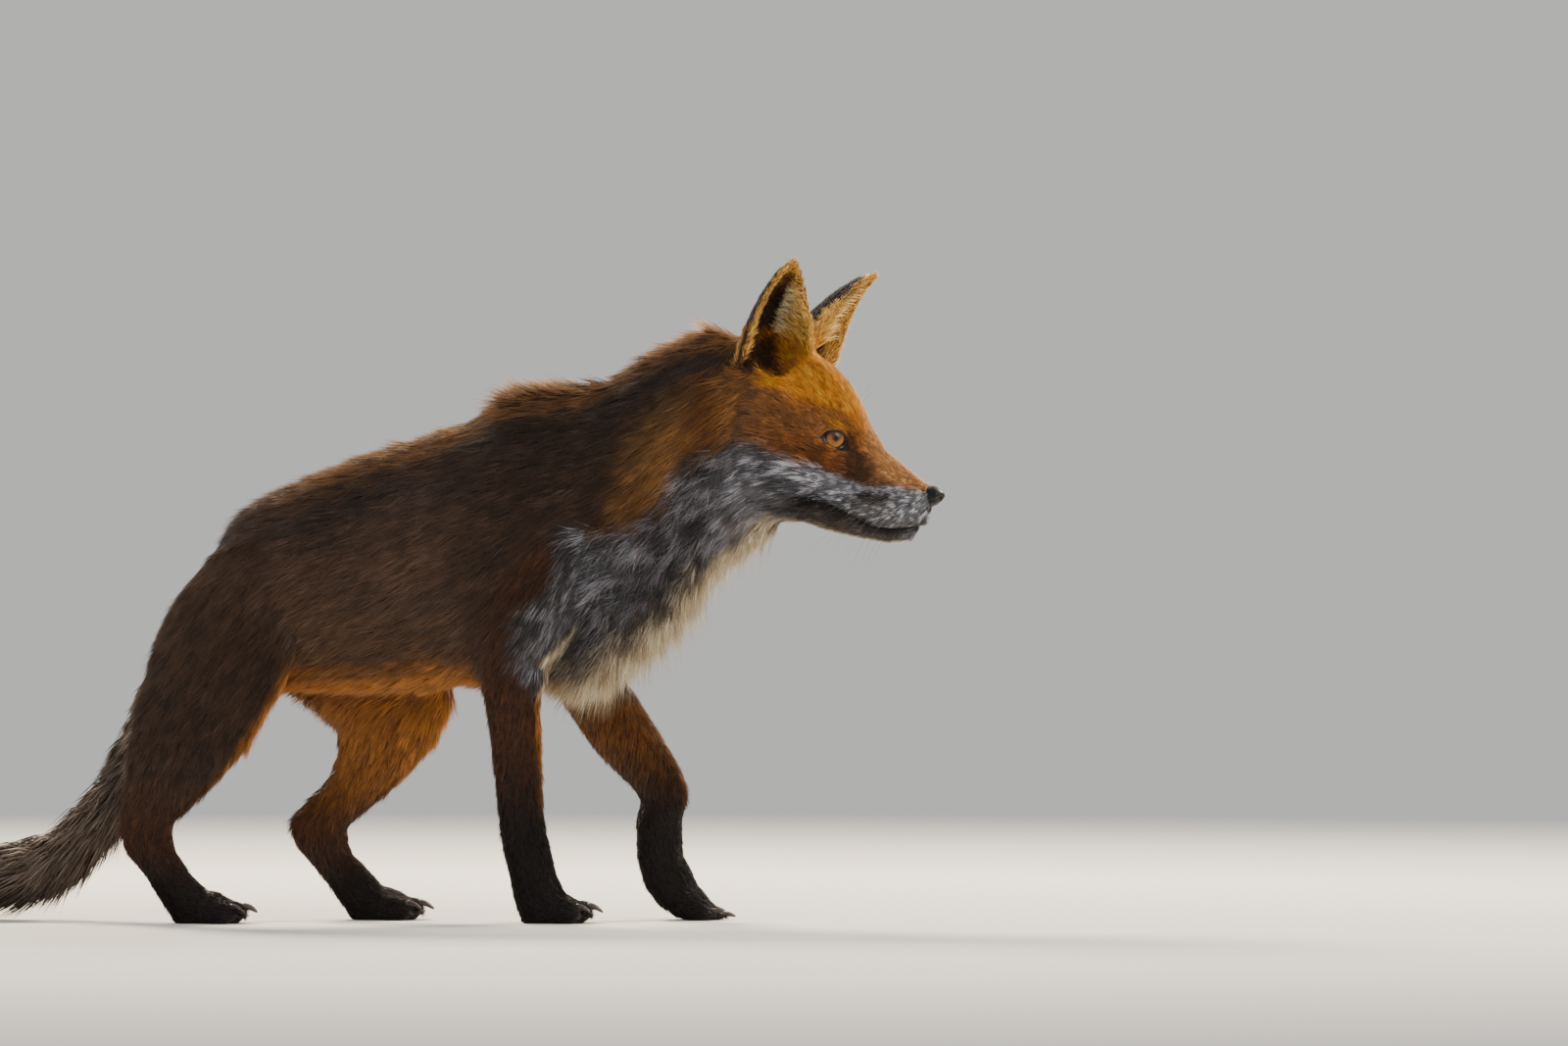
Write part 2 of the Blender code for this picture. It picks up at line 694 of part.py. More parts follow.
def put_on_origin(where):
    """Moves the meshes so that the origin is on the floor under the middle of the whole box."""
    corners = np.array([v.co for obj in where.objects for v in obj.data.vertices])
    low, high = corners.min(axis=0), corners.max(axis=0)
    shift = Matrix.Translation((-(low[0] + high[0]) / 2, -(low[1] + high[1]) / 2, -low[2]))
    for obj in where.objects:
        obj.data.transform(shift)


main()
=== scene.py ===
"""A life-size red fox, walking: its skin, coat, eyes, nose, claws and whiskers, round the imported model."""
import math

import bmesh
import bpy
import numpy as np
from mathutils import Matrix, Vector
from mathutils.bvhtree import BVHTree
from mathutils.kdtree import KDTree


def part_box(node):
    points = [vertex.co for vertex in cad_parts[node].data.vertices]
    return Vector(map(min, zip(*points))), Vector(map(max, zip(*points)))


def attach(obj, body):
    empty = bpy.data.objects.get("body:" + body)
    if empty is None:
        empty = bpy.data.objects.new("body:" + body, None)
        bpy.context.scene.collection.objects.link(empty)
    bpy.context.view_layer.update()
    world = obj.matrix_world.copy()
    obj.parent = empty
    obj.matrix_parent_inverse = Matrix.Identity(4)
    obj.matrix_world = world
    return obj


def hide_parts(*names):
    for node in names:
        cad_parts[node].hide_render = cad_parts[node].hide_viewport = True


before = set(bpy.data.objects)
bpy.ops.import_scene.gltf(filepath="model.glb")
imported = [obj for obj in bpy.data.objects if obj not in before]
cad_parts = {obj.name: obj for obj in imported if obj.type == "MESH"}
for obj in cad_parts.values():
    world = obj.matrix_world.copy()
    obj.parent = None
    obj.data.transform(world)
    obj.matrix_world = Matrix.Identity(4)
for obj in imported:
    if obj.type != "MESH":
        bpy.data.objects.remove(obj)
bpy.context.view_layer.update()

MM = 0.001
PIECE_LIMIT = 196000            # triangles in the largest piece of coat
SKIN_VOXEL = 1.9                # grid of the skin's first blend, mm
SKIN_TRIANGLES = 135000
PATCH = 0.003                   # width of a tuft's patch on the skin's map

# sRGB colours of the hair, and of the bare skin that shows.
COLOURS = {
    # crown, temples and muzzle
    "gold": "EE9624", "temple": "8E5C30", "rust": "8C5426", "rust_dark": "4A2614",
    "muzzle": "D2945A", "bridge": "472A17",
    # cheeks, bib, jaw and chin
    "grey": "707077", "pale": "C6C8D4", "cream": "DCC8A8", "smoke": "352F30", "soot": "120F10",
    "jaw": "382E27", "chin": "40372F",
    # body, legs and tail; fringe and flame also colour the painted rim light on the crest, belly and legs
    "brown": "513D31", "back": "3C302D", "umber": "2F2018", "olive": "6C4F31", "ochre": "8C581E",
    "fringe": "BE8448", "flame": "CC8438", "leg": "472813", "thigh": "3C2B21", "black": "080708",
    "tail": "62554C",
    # ears
    "ear_back": "15121A", "ear_gold": "DFA54C", "ear_cream": "E8D3A6", "ear_deep": "2E160B",
    "ear_amber": "7A5222",
    # lips and rims, a painted highlight on the lower lids' wet edge, and the paws' pads
    "bare": "050404", "painted_lid_glint": "9A8E86", "pad": "171312",
}


def linear(code):
    """An sRGB hex colour as linear numbers."""
    parts = [int(code[i:i + 2], 16) / 255 for i in (0, 2, 4)]
    return np.array([p / 12.92 if p <= 0.04045 else ((p + 0.055) / 1.055) ** 2.4 for p in parts])


COLOUR = {name: linear(code) for name, code in COLOURS.items()}


def ease(value, low, high):
    """0 at low, 1 at high and smooth between. low may be the larger of the two."""
    t = np.clip((value - low) / (high - low), 0, 1)
    return t * t * (3 - 2 * t)


def unit(vectors):
    return vectors / np.maximum(np.linalg.norm(vectors, axis=-1, keepdims=True), 1e-9)


def tint(base, name, weight):
    """Moves colours towards a named one by a weight for each."""
    return base + (COLOUR[name] - base) * weight[:, None]


def middle(node):
    low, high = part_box(node)
    return (low + high) / 2


# The head's own frame: millimetres ahead of the eyes, to the fox's left, and above the floor.
EYES = {"left": middle("eye_left"), "right": middle("eye_right")}
NOSE = middle("nose")
BROW = (EYES["left"] + EYES["right"]) / 2
AHEAD = Vector((NOSE.x - BROW.x, NOSE.y - BROW.y, 0)).normalized()
LEFT = Vector((-AHEAD.y, AHEAD.x, 0))
UP = Vector((0, 0, 1))
HEAD_AXES = np.array([AHEAD, LEFT, UP])
HEAD_FOOT = np.array([BROW.x, BROW.y, 0])


def head_place(ahead, left, up):
    """A place in the head's frame, in the model's."""
    return Vector(HEAD_FOOT) + (AHEAD * ahead + LEFT * left + UP * up) * MM


def in_head(places):
    """Places in the model's frame, in the head's."""
    return (places - HEAD_FOOT) @ HEAD_AXES.T / MM


NOSE_AHEAD, _, NOSE_UP = in_head(np.array([NOSE]))[0]

# Each ear stands along its axis and opens the way it faces. front is the sign of its front edge.
EAR_LENGTH = 84.5
EARS = {
    "ear_right": {"axis": (0.142, -0.343, 0.929), "facing": (0.45, -0.89, 0.10), "front": 1},
    "ear_left": {"axis": (0.500, 0.160, 0.851), "facing": (0.86, -0.34, -0.50), "front": -1},
}


def set_up_ears():
    for name, ear in EARS.items():
        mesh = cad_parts[name].data
        tip = max((v.co for v in mesh.vertices), key=lambda co: co.z)
        axis = Vector(ear["axis"]).normalized()
        facing = Vector(ear["facing"])
        facing = (facing - axis * facing.dot(axis)).normalized()
        ear["base"] = np.array(tip - axis * EAR_LENGTH * MM)
        ear["axis"] = np.array(axis)
        ear["facing"] = np.array(facing)
        ear["across"] = np.array(axis.cross(facing)) * ear["front"]


def in_ear(name, places):
    """How far up the ear places are, 0 to 1, how far towards its front edge and out of its cup, mm."""
    ear = EARS[name]
    offset = places - ear["base"]
    return offset @ ear["axis"] / (EAR_LENGTH * MM), offset @ ear["across"] / MM, offset @ ear["facing"] / MM


set_up_ears()


def pairs(*parts):
    """The nodes of each part, left and right."""
    return [f"{part}_{side}" for part in parts for side in ("left", "right")]


GROUPS = {
    "head": ["head", "lower_jaw", *pairs("eye"), "nose"],
    "ear_right": ["ear_right"],
    "ear_left": ["ear_left"],
    "neck": ["neck"],
    "trunk": ["trunk"],
    "foreleg": pairs("upper_arm", "forearm", "forepaw"),
    "hindleg": pairs("thigh", "shank", "hindpaw"),
    "tail": ["tail_root", "tail_brush", "tail_tip"],
}
GROUP_NAMES = list(GROUPS)
FILLED = [node for nodes in GROUPS.values() for node in nodes]
FLESH = [node for node in FILLED if not node.startswith("eye") and node != "nose"]

# How the coat grows on each part: depth under its tips, length and width of a tuft, how far it lifts,
# tufts on a square centimetre, width of a lock and how far its tips are drawn together. mm and degrees.
COAT = {
    "head": (2.4, 8.0, 0.72, 19, 215, 3.6, 0.42),
    "lower_jaw": (1.6, 6.0, 0.64, 17, 210, 3.0, 0.38),
    "ear": (0.7, 4.6, 0.74, 16, 138, 3.0, 0.30),
    "neck": (7.0, 23, 1.02, 20, 112, 7.5, 0.50),
    "trunk": (5.8, 21, 1.10, 14, 76, 7.5, 0.42),
    "upper_arm": (6.0, 16, 1.05, 14, 98, 6.0, 0.42),
    "forearm": (2.6, 10, 1.00, 15, 66, 4.5, 0.38),
    "forepaw": (1.1, 6.0, 0.90, 14, 90, 3.4, 0.38),
    "thigh": (5.4, 19, 1.10, 15, 94, 7.0, 0.42),
    "shank": (3.6, 13, 1.00, 16, 104, 5.0, 0.42),
    "hindpaw": (1.3, 6.5, 0.90, 14, 82, 3.4, 0.38),
    "tail_root": (9.0, 26, 1.70, 20, 33, 8.5, 0.55),
    "tail_brush": (11.0, 32, 1.80, 22, 33, 9.5, 0.55),
    "tail_tip": (9.0, 32, 1.80, 22, 36, 9.0, 0.60),
}
COAT_FIELDS = ("depth", "length", "width", "lift", "density", "lock", "draw")


def kind_of(node):
    """A node's row in COAT: its name without its side."""
    if node in ("eye_left", "eye_right", "nose"):
        return "head"
    return node.replace("_left", "").replace("_right", "")


# ---------------------------------------------------------------- meshes and fields on them

def add_mesh(name, mesh):
    obj = bpy.data.objects.new(name, mesh)
    bpy.context.scene.collection.objects.link(obj)
    return obj


def only(obj):
    """Selects one object and makes it active."""
    bpy.ops.object.select_all(action="DESELECT")
    obj.select_set(True)
    bpy.context.view_layer.objects.active = obj


def apply_modifier(obj, kind, **settings):
    """Adds a modifier with its settings and applies it."""
    only(obj)
    modifier = obj.modifiers.new(kind.lower(), kind)
    for key, value in settings.items():
        setattr(modifier, key, value)
    bpy.ops.object.modifier_apply(modifier=modifier.name)


def places_of(obj):
    flat = np.empty(len(obj.data.vertices) * 3)
    obj.data.vertices.foreach_get("co", flat)
    return flat.reshape(-1, 3)


def set_places(obj, places):
    obj.data.vertices.foreach_set("co", places.ravel())
    obj.data.update()


def edges_of(obj):
    flat = np.empty(len(obj.data.edges) * 2, np.int64)
    obj.data.edges.foreach_get("vertices", flat)
    return flat.reshape(-1, 2)


def triangles_of(obj):
    """The corners of each triangle, as vertices and as loops."""
    mesh = obj.data
    mesh.calc_loop_triangles()
    corners = np.empty(len(mesh.loop_triangles) * 3, np.int64)
    loops = np.empty(len(mesh.loop_triangles) * 3, np.int64)
    mesh.loop_triangles.foreach_get("vertices", corners)
    mesh.loop_triangles.foreach_get("loops", loops)
    return corners.reshape(-1, 3), loops.reshape(-1, 3)


def gather(values, index, count):
    """Adds up rows of values that share an index."""
    return np.stack([np.bincount(index, values[:, k], count) for k in range(values.shape[1])], 1)


def normals_of(places, triangles):
    a, b, c = (places[triangles[:, k]] for k in range(3))
    face = np.cross(b - a, c - a)
    total = sum(gather(face, triangles[:, k], len(places)) for k in range(3))
    return unit(total)


def relaxed(values, edges, rounds, pull=0.5):
    """Evens out a field over the mesh, each value drawn to the mean of its neighbours."""
    count = len(values)
    a, b = edges[:, 0], edges[:, 1]
    degree = np.maximum(np.bincount(edges.ravel(), minlength=count), 1)[:, None]
    for _ in range(rounds):
        mean = (gather(values[b], a, count) + gather(values[a], b, count)) / degree
        values = values + pull * (mean - values)
    return values


# ---------------------------------------------------------------- the skin

def flesh_blend():
    """The flesh nodes and what is bedded in them, grown by a hair and blended into one closed form."""
    bm = bmesh.new()
    part_of_face = []
    for index, node in enumerate(FILLED):
        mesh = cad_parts[node].data.copy()
        piece = bmesh.new()
        piece.from_mesh(mesh)
        bmesh.ops.remove_doubles(piece, verts=piece.verts, dist=0.00001)
        piece.normal_update()
        for vert in piece.verts:
            vert.co += vert.normal * 0.35 * MM
        piece.to_mesh(mesh)
        piece.free()
        bm.from_mesh(mesh)
        part_of_face += [index] * (len(bm.faces) - len(part_of_face))
        bpy.data.meshes.remove(mesh)
    bm.faces.ensure_lookup_table()
    tree = BVHTree.FromBMesh(bm)
    mesh = bpy.data.meshes.new("skin")
    bm.to_mesh(mesh)
    bm.free()
    skin = add_mesh("skin", mesh)
    apply_modifier(skin, "REMESH", mode="VOXEL", voxel_size=SKIN_VOXEL * MM)
    keep_largest(skin)
    ratio = SKIN_TRIANGLES / (2 * len(skin.data.polygons))
    apply_modifier(skin, "TRIANGULATE")
    apply_modifier(skin, "DECIMATE", ratio=ratio)
    return skin, tree, np.array(part_of_face)


def keep_largest(obj):
    """Deletes all but the outer sheet of a mesh."""
    bm = bmesh.new()
    bm.from_mesh(obj.data)
    seen = set()
    islands = []
    for start in bm.verts:
        if start in seen:
            continue
        island = []
        stack = [start]
        seen.add(start)
        while stack:
            vert = stack.pop()
            island.append(vert)
            for edge in vert.link_edges:
                other = edge.other_vert(vert)
                if other not in seen:
                    seen.add(other)
                    stack.append(other)
        islands.append(island)
    islands.sort(key=len)
    for island in islands[:-1]:
        bmesh.ops.delete(bm, geom=island, context="VERTS")
    bm.to_mesh(obj.data)
    bm.free()


def refine(obj, zones):
    """Splits the edges near some places, for detail finer than the blend's grid."""
    bm = bmesh.new()
    bm.from_mesh(obj.data)
    for centre, radius in zones:
        near = [e for e in bm.edges if all((v.co - centre).length < radius * MM for v in e.verts)]
        bmesh.ops.subdivide_edges(bm, edges=near, cuts=1, use_grid_fill=True)
        bmesh.ops.triangulate(bm, faces=[f for f in bm.faces if len(f.verts) > 3])
    bm.to_mesh(obj.data)
    bm.free()


def node_of_places(places, tree, part_of_face):
    """The node nearest to each place."""
    return np.array([part_of_face[tree.find_nearest(Vector(p))[2]] for p in places])


# The eye: the opening between its lids and their dark rims, in mm along it towards the nose and up
# across it. The lids look out from the side of the head, and the eye itself a little further ahead.
EYE_RADIUS = 8.8
LID_AHEAD = math.radians(14)
LID_DIP = math.radians(24)
LID_MIDDLE = (0.9, -0.35)
LID_HALF = (7.9, 4.9)
RIM_ALONG = (-9.9, -7.6, -3.8, 0.1, 4.0, 8.3, 12.0, 14.9)
RIM_UPPER = (-2.6, 1.4, 4.9, 6.7, 6.7, 4.9, 1.6, -2.6)
RIM_LOWER = (-3.0, -3.9, -5.3, -5.9, -5.9, -5.9, -5.7, -3.6)
GAZE_AHEAD = math.radians(23)
GAZE_UP = math.radians(2)


def turned_out(side, ahead, up):
    """A direction out of an eye, turned ahead and up by two angles."""
    out = LEFT if side == "left" else -LEFT
    way = out * math.cos(ahead) + AHEAD * math.sin(ahead)
    return (way * math.cos(up) + UP * math.sin(up)).normalized()


def lid_axes(side):
    """Directions out between the lids, along them towards the nose, and up across them."""
    out = turned_out(side, LID_AHEAD, 0)
    level = (AHEAD - out * AHEAD.dot(out)).normalized()
    along = level * math.cos(LID_DIP) - UP * math.sin(LID_DIP)
    across = level * math.sin(LID_DIP) + UP * math.cos(LID_DIP)
    return out, along, across


def from_lids(side, places):
    """How far places are outside the lids' opening, outside their dark rims, from the eye's middle
    and up across the lids, mm."""
    out, along, across = (np.array(axis) for axis in lid_axes(side))
    offset = (places - np.array(EYES[side])) / MM
    reach = np.linalg.norm(offset, axis=1)
    length, height, depth = offset @ along, offset @ across, offset @ out
    form = np.hypot((length - LID_MIDDLE[0]) / LID_HALF[0], (height - LID_MIDDLE[1]) / LID_HALF[1])
    beyond = (form - 1) * (LID_HALF[0] + LID_HALF[1]) / 2
    upper = np.interp(length, RIM_ALONG, RIM_UPPER, -9, -9)
    lower = np.interp(length, RIM_ALONG, RIM_LOWER, -3, -3)
    rim = np.maximum(height - upper, lower - height)
    behind = depth < 1
    return np.where(behind, 30.0, beyond), np.where(behind, 30.0, rim), reach, height


def sculpt_lids(places):
    """Sinks the skin behind the eyeballs and wraps lids over their edges."""
    for side, centre in EYES.items():
        beyond, _, reach, height = from_lids(side, places)
        upper = ease(height, -1, 3)
        lid = EYE_RADIUS + 0.6 + (0.5 + 0.6 * upper) * ease(beyond, 0.0, 1.6)
        inside = EYE_RADIUS - 1.7
        target = inside + (lid - inside) * ease(beyond, -0.9, 0.1)
        hold = ease(beyond, 1.4, 8.0)
        crease = -0.55 * np.exp(-((beyond - 3.2) / 0.9) ** 2) * upper
        brow = 0.9 * np.exp(-((beyond - 6.0) / 2.0) ** 2) * ease(height, 1, 6)
        target = target + (np.maximum(reach, target) - target) * hold + brow + crease
        target = np.where(beyond > 9, np.maximum(reach, target), target)
        scale = np.where((reach < 22) & (beyond < 29), target / reach, 1.0)
        places = np.array(centre) + (places - np.array(centre)) * scale[:, None]
    return places


# The closed mouth, from its front to its corner: ahead of the eyes and above the floor.
MOUTH = [
    (60, 283.0), (54, 282.0), (41, 280.8), (35, 281.0),
    (26, 282.8), (17, 287.2), (8, 293.0), (-7, 301.0),
]


def from_mouth(head):
    """How far above the mouth's line places are, mm, and how far along it they still are on it, 0 to 1."""
    ahead, up = zip(*reversed(MOUTH))
    rise = head[:, 2] - np.interp(head[:, 0], ahead, up)
    return rise, ease(head[:, 0], MOUTH[-1][0] - 3, MOUTH[-1][0] + 5)


def sculpt_mouth(places, normals, weight):
    """Draws in the line of the lips, with the upper one full above it and the lower one tucked in."""
    head = in_head(places)
    rise, on = from_mouth(head)
    on = on * weight * ease(np.abs(head[:, 0]) - 62, 3, -1)
    groove = -2.0 * np.exp(-(rise / 1.0) ** 2)
    upper = 0.75 * np.exp(-((rise - 4.0) / 2.4) ** 2)
    lower = -0.7 * np.exp(-((rise + 2.6) / 2.0) ** 2)
    return places + normals * ((groove + upper + lower) * on * MM)[:, None]


NOSE_PAD = (9.8, 9.0, 7.9)        # half sizes of the nose's pad, mm
NOSE_MIDDLE = NOSE + AHEAD * 1.8 * MM


def from_nose_pad(places):
    """How far places are from the middle of the nose's pad, as a share of its size."""
    offset = (places - np.array(NOSE_MIDDLE)) / MM @ HEAD_AXES.T
    return np.linalg.norm(offset / np.array(NOSE_PAD), axis=1)


def sculpt_nose_bed(places, weight):
    """Sinks the skin under the nose's pad."""
    reach = from_nose_pad(places)
    near = (reach < 1.06) & (weight > 0.5) & (in_head(places)[:, 0] > NOSE_AHEAD - 6)
    scale = np.where(near, np.minimum(reach, 0.86) / np.maximum(reach, 0.01), 1)
    return np.array(NOSE_MIDDLE) + (places - np.array(NOSE_MIDDLE)) * scale[:, None]


# Toes of a level paw: how far the claw's root is ahead of the paw's middle and beside it, mm, and
# how far that middle is behind the tips of the longest claws. The left forepaw dips as it lands.
TOES = [(29, -6.8), (29, 6.8), (21, -15.6), (21, 15.6)]
CLAW_RISE = 0.6
PAW_REACH = 36.0
PAW_DIP = {"forepaw_right": 0, "forepaw_left": 24, "hindpaw_right": 0, "hindpaw_left": 0}
PAW_UP = {"forepaw_right": 10.5, "forepaw_left": 14, "hindpaw_right": 10.5, "hindpaw_left": 10.5}


def claw_places():
    """The root and the direction of every claw."""
    made = []
    for paw, dip in PAW_DIP.items():
        low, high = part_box(paw)
        turn = Matrix.Rotation(math.radians(dip), 3, "Y")
        tip = turn @ Vector((PAW_REACH, 0, 0))
        centre = Vector((high.x - tip.x * MM, (low.y + high.y) / 2, PAW_UP[paw] * MM))
        for ahead, beside in TOES:
            splay = Matrix.Rotation(math.radians(beside * 0.9), 3, "Z")
            pitch = Matrix.Rotation(math.radians(20 - 1.9 * dip), 3, "Y")
            root = centre + turn @ Vector((ahead, beside, CLAW_RISE)) * MM
            made.append((paw, root, (turn @ splay @ pitch @ Vector((1, 0, 0))).normalized()))
    return made


def trim_claws(places):
    """Draws the blended stubs of the claws back into the toes."""
    for _, root, way in claw_places():
        offset = (places - np.array(root)) / MM
        along = offset @ np.array(way)
        aside = np.linalg.norm(offset - along[:, None] * np.array(way), axis=1)
        pull = np.where((along > -1) & (along < 12) & (aside < 4.2), np.maximum(along + 0.2, 0), 0)
        places = places - pull[:, None] * np.array(way) * MM
    return places


def build_skin():
    """The one skin, as an object and the fields that the coat grows by."""
    skin, tree, part_of_face = flesh_blend()
    refine(skin, [
        (EYES["left"], 18), (EYES["right"], 18),
        (head_place(40, 0, 292), 40), (head_place(12, 0, 292), 34),
        (EYES["left"], 14), (EYES["right"], 14),
    ])
    places = places_of(skin)
    edges = edges_of(skin)
    triangles, loops = triangles_of(skin)
    node = node_of_places(places, tree, part_of_face)

    kinds = [kind_of(name) for name in FILLED]
    field = np.array([COAT[kinds[k]] for k in node], float)
    group = np.array([[name in GROUPS[g] for g in GROUP_NAMES] for name in FILLED], float)[node]
    head = in_head(places)
    on_head = group[:, 0]
    field = dress_head(field, head, on_head)
    field = relaxed(field, edges, 14)
    group = relaxed(group, edges, 9)

    on_ear = group[:, 1] + group[:, 2]
    places = relaxed(places, edges, 2) * (1 - on_ear[:, None]) + relaxed(places, edges, 1) * on_ear[:, None]
    places = trim_claws(places)
    depth = field[:, 0] * ease(places[:, 2] / MM, 0.5, 7)
    for _ in range(3):
        normals = normals_of(places, triangles)
        smooth = unit(relaxed(normals, edges, 3))
        places = places - smooth * (depth / 3 * MM)[:, None]
    head_weight = ease(group[:, 0], 0.3, 0.7)
    places = sculpt_ear_bowls(places, normals_of(places, triangles), head_weight)
    places = smooth_ear_roots_and_hips(places, edges)
    places = sculpt_mouth(places, normals_of(places, triangles), head_weight)
    places = sculpt_nose_bed(places, head_weight)
    places = sculpt_lids(places)
    set_places(skin, places)
    normals = normals_of(places, triangles)

    fields = {key: field[:, k] for k, key in enumerate(COAT_FIELDS)}
    fields.update(
        place=places, normal=normals, edges=edges, triangles=triangles, loops=loops,
        group=group, node=node,
    )
    return skin, fields


def dress_head(field, head, on_head):
    """The coat on the head: sleek on the muzzle, deeper on the cheeks and behind the ears."""
    ahead, _, up = head.T
    muzzle = ease(ahead, 2, 26) * on_head
    cheek = ease(ahead, -8, -34) * ease(up, 350, 322) * on_head
    crown = ease(ahead, -20, -45) * ease(up, 372, 395) * on_head
    rows = {
        "muzzle": (0.9, 4.0, 0.56, 14, 280, 2.4, 0.32),
        "cheek": (5.5, 14, 0.92, 22, 135, 5.0, 0.50),
        "crown": (3.0, 9, 0.80, 20, 175, 4.0, 0.42),
    }
    for weight, key in ((cheek, "cheek"), (crown, "crown"), (muzzle, "muzzle")):
        field = field + (np.array(rows[key]) - field) * weight[:, None]
    return field


# ---------------------------------------------------------------- markings

# The grey bib: its upper edge from the shoulder to the cheek, and its rear edge down the shoulder, mm.
BIB_TOP = [
    (126, 287), (156, 281), (180, 290), (200, 304), (206, 318),
    (212, 332), (224, 339), (250, 343), (266, 341),
]
BIB_BACK = [
    (173, 98), (188, 90), (209, 88), (229, 91), (235, 105), (251, 118), (263, 122), (287, 126),
]
# Where the rust of the face meets the pale cheek and lip: ahead of the eyes, above the floor.
FACE_LINE = [
    (-75, 345), (-47, 341), (-38, 337), (-21, 328), (-4, 322), (9, 316), (25, 310), (48, 310), (60, 308),
]


THROAT_WAY = np.array([0.55, 0, -0.83])     # straight out of the throat and breast
ENDLESS = 1e6


def bib_of(places):
    """Where the bib is, 0 to 1."""
    x, _, z = places.T / MM
    top = np.interp(x, *zip(*BIB_TOP))
    back = np.interp(z, *zip(*BIB_BACK))
    return ease(top - z, -4, 5) * ease(x - back, -4, 5) * ease(z, 158, 176)


def mottle(places, size, seed):
    """A soft cloud of light and dark over the coat, about size mm across, from -1 to 1."""
    rng = np.random.default_rng(seed)
    total = np.zeros(len(places))
    for _ in range(7):
        way = unit(rng.normal(size=3))
        total += np.sin(places @ way / (size * MM) * rng.uniform(1.6, 3.4) + rng.uniform(0, 6.3))
    return total / 3.2


def spot(a, b, centre, radii):
    """A soft spot on two measures, 1 at its centre."""
    return np.exp(-((a - centre[0]) / radii[0]) ** 2 - ((b - centre[1]) / radii[1]) ** 2)


def stripe(a, centre, radius):
    """A soft stripe on one measure, 1 along its middle."""
    return spot(a, a, (centre, centre), (radius, ENDLESS))


def full(name, count):
    """One named colour for each of many places."""
    return np.tile(COLOUR[name], (count, 1))


def bib_colour(places, normals):
    """Smoky grey locks, brown and then cream where the throat and breast turn under."""
    colour = full("grey", len(places))
    under = normals @ THROAT_WAY
    colour = tint(colour, "smoke", ease(mottle(places, 13, 5), -0.2, 0.9) * 0.65)
    colour = tint(colour, "smoke", ease(under, 0.30, 0.60) * 0.6)
    return tint(colour, "cream", ease(under, 0.52, 0.84))


def with_bib(colour, places, normals):
    """Lays the bib's colours over others, where the bib is."""
    return colour + (bib_colour(places, normals) - colour) * bib_of(places)[:, None]


def trunk_colour(places, normals):
    """Dark along the back, brown on the flanks, and orange where the belly turns under."""
    x, _, z = places.T / MM
    rise = normals[:, 2]
    colour = full("brown", len(places))
    colour = tint(colour, "back", ease(rise, 0.05, 0.7))
    colour = tint(colour, "umber", ease(x, 20, 75) * ease(z, 180, 240) * 0.50)
    fade = rise + 0.07 * mottle(places, 22, 6)
    colour = tint(colour, "olive", ease(fade, 0.0, -0.5) * ease(x, 75, 20) * 0.30)
    colour = tint(colour, "ochre", ease(fade, -0.38, -0.80) * 0.85)
    colour = tint(colour, "flame", ease(fade, -0.72, -0.96) * 0.5)
    colour = tint(colour, "umber", ease(x, -110, -190) * 0.45)
    shade = 1 + 0.20 * mottle(places, 34, 3)
    colour = colour * shade[:, None]
    return with_bib(colour, places, normals)


PANEL = (201, 338)                # the middle of the neck's golden panel, mm


def neck_colour(places, normals):
    """A golden panel down the side of the neck, under a dark nape, with a rusty edge at the cheek and painted
    rim light along the top.
    """
    x, _, z = places.T / MM
    rise = normals[:, 2]
    colour = full("olive", len(places))
    low = z - np.interp(x, *zip(*BIB_TOP))
    colour = tint(colour, "ochre", ease(low, 50, 12) * ease(x, 150, 190) * 0.25)
    colour = tint(colour, "ochre", ease(x, 214, 232) * ease(low, 5, 18) * 0.55)
    colour = tint(colour, "back", ease(low, 62, 92) * ease(x, 238, 205))
    colour = tint(colour, "back", ease(rise, 0.15, 0.55) * ease(x, 262, 235))
    colour = tint(colour, "umber", ease(x, 168, 125) * 0.8)
    # painted rim light: a golden edge along the top of the neck
    colour = tint(colour, "fringe", ease(rise, 0.75, 0.98) * 0.3)
    ahead, up = x - PANEL[0], z - PANEL[1]
    panel = spot(ahead * 0.6 + up * 0.8, ahead * 0.8 - up * 0.6, (0, 0), (34, 16))
    colour = tint(colour, "fringe", panel * 0.36)
    fold = stripe(x, 229, 9) * ease(z, 336, 350) * ease(rise, 0.5, 0.2)
    colour = tint(colour, "rust_dark", fold * 0.55)
    colour = colour * (1 + 0.14 * mottle(places, 26, 4))[:, None]
    return with_bib(colour, places, normals)


# The lower edge of the golden crown: ahead of the eyes, above the floor.
CROWN_LINE = [(-60, 384), (-29, 376), (-12, 368), (0, 364), (10, 357), (20, 351)]


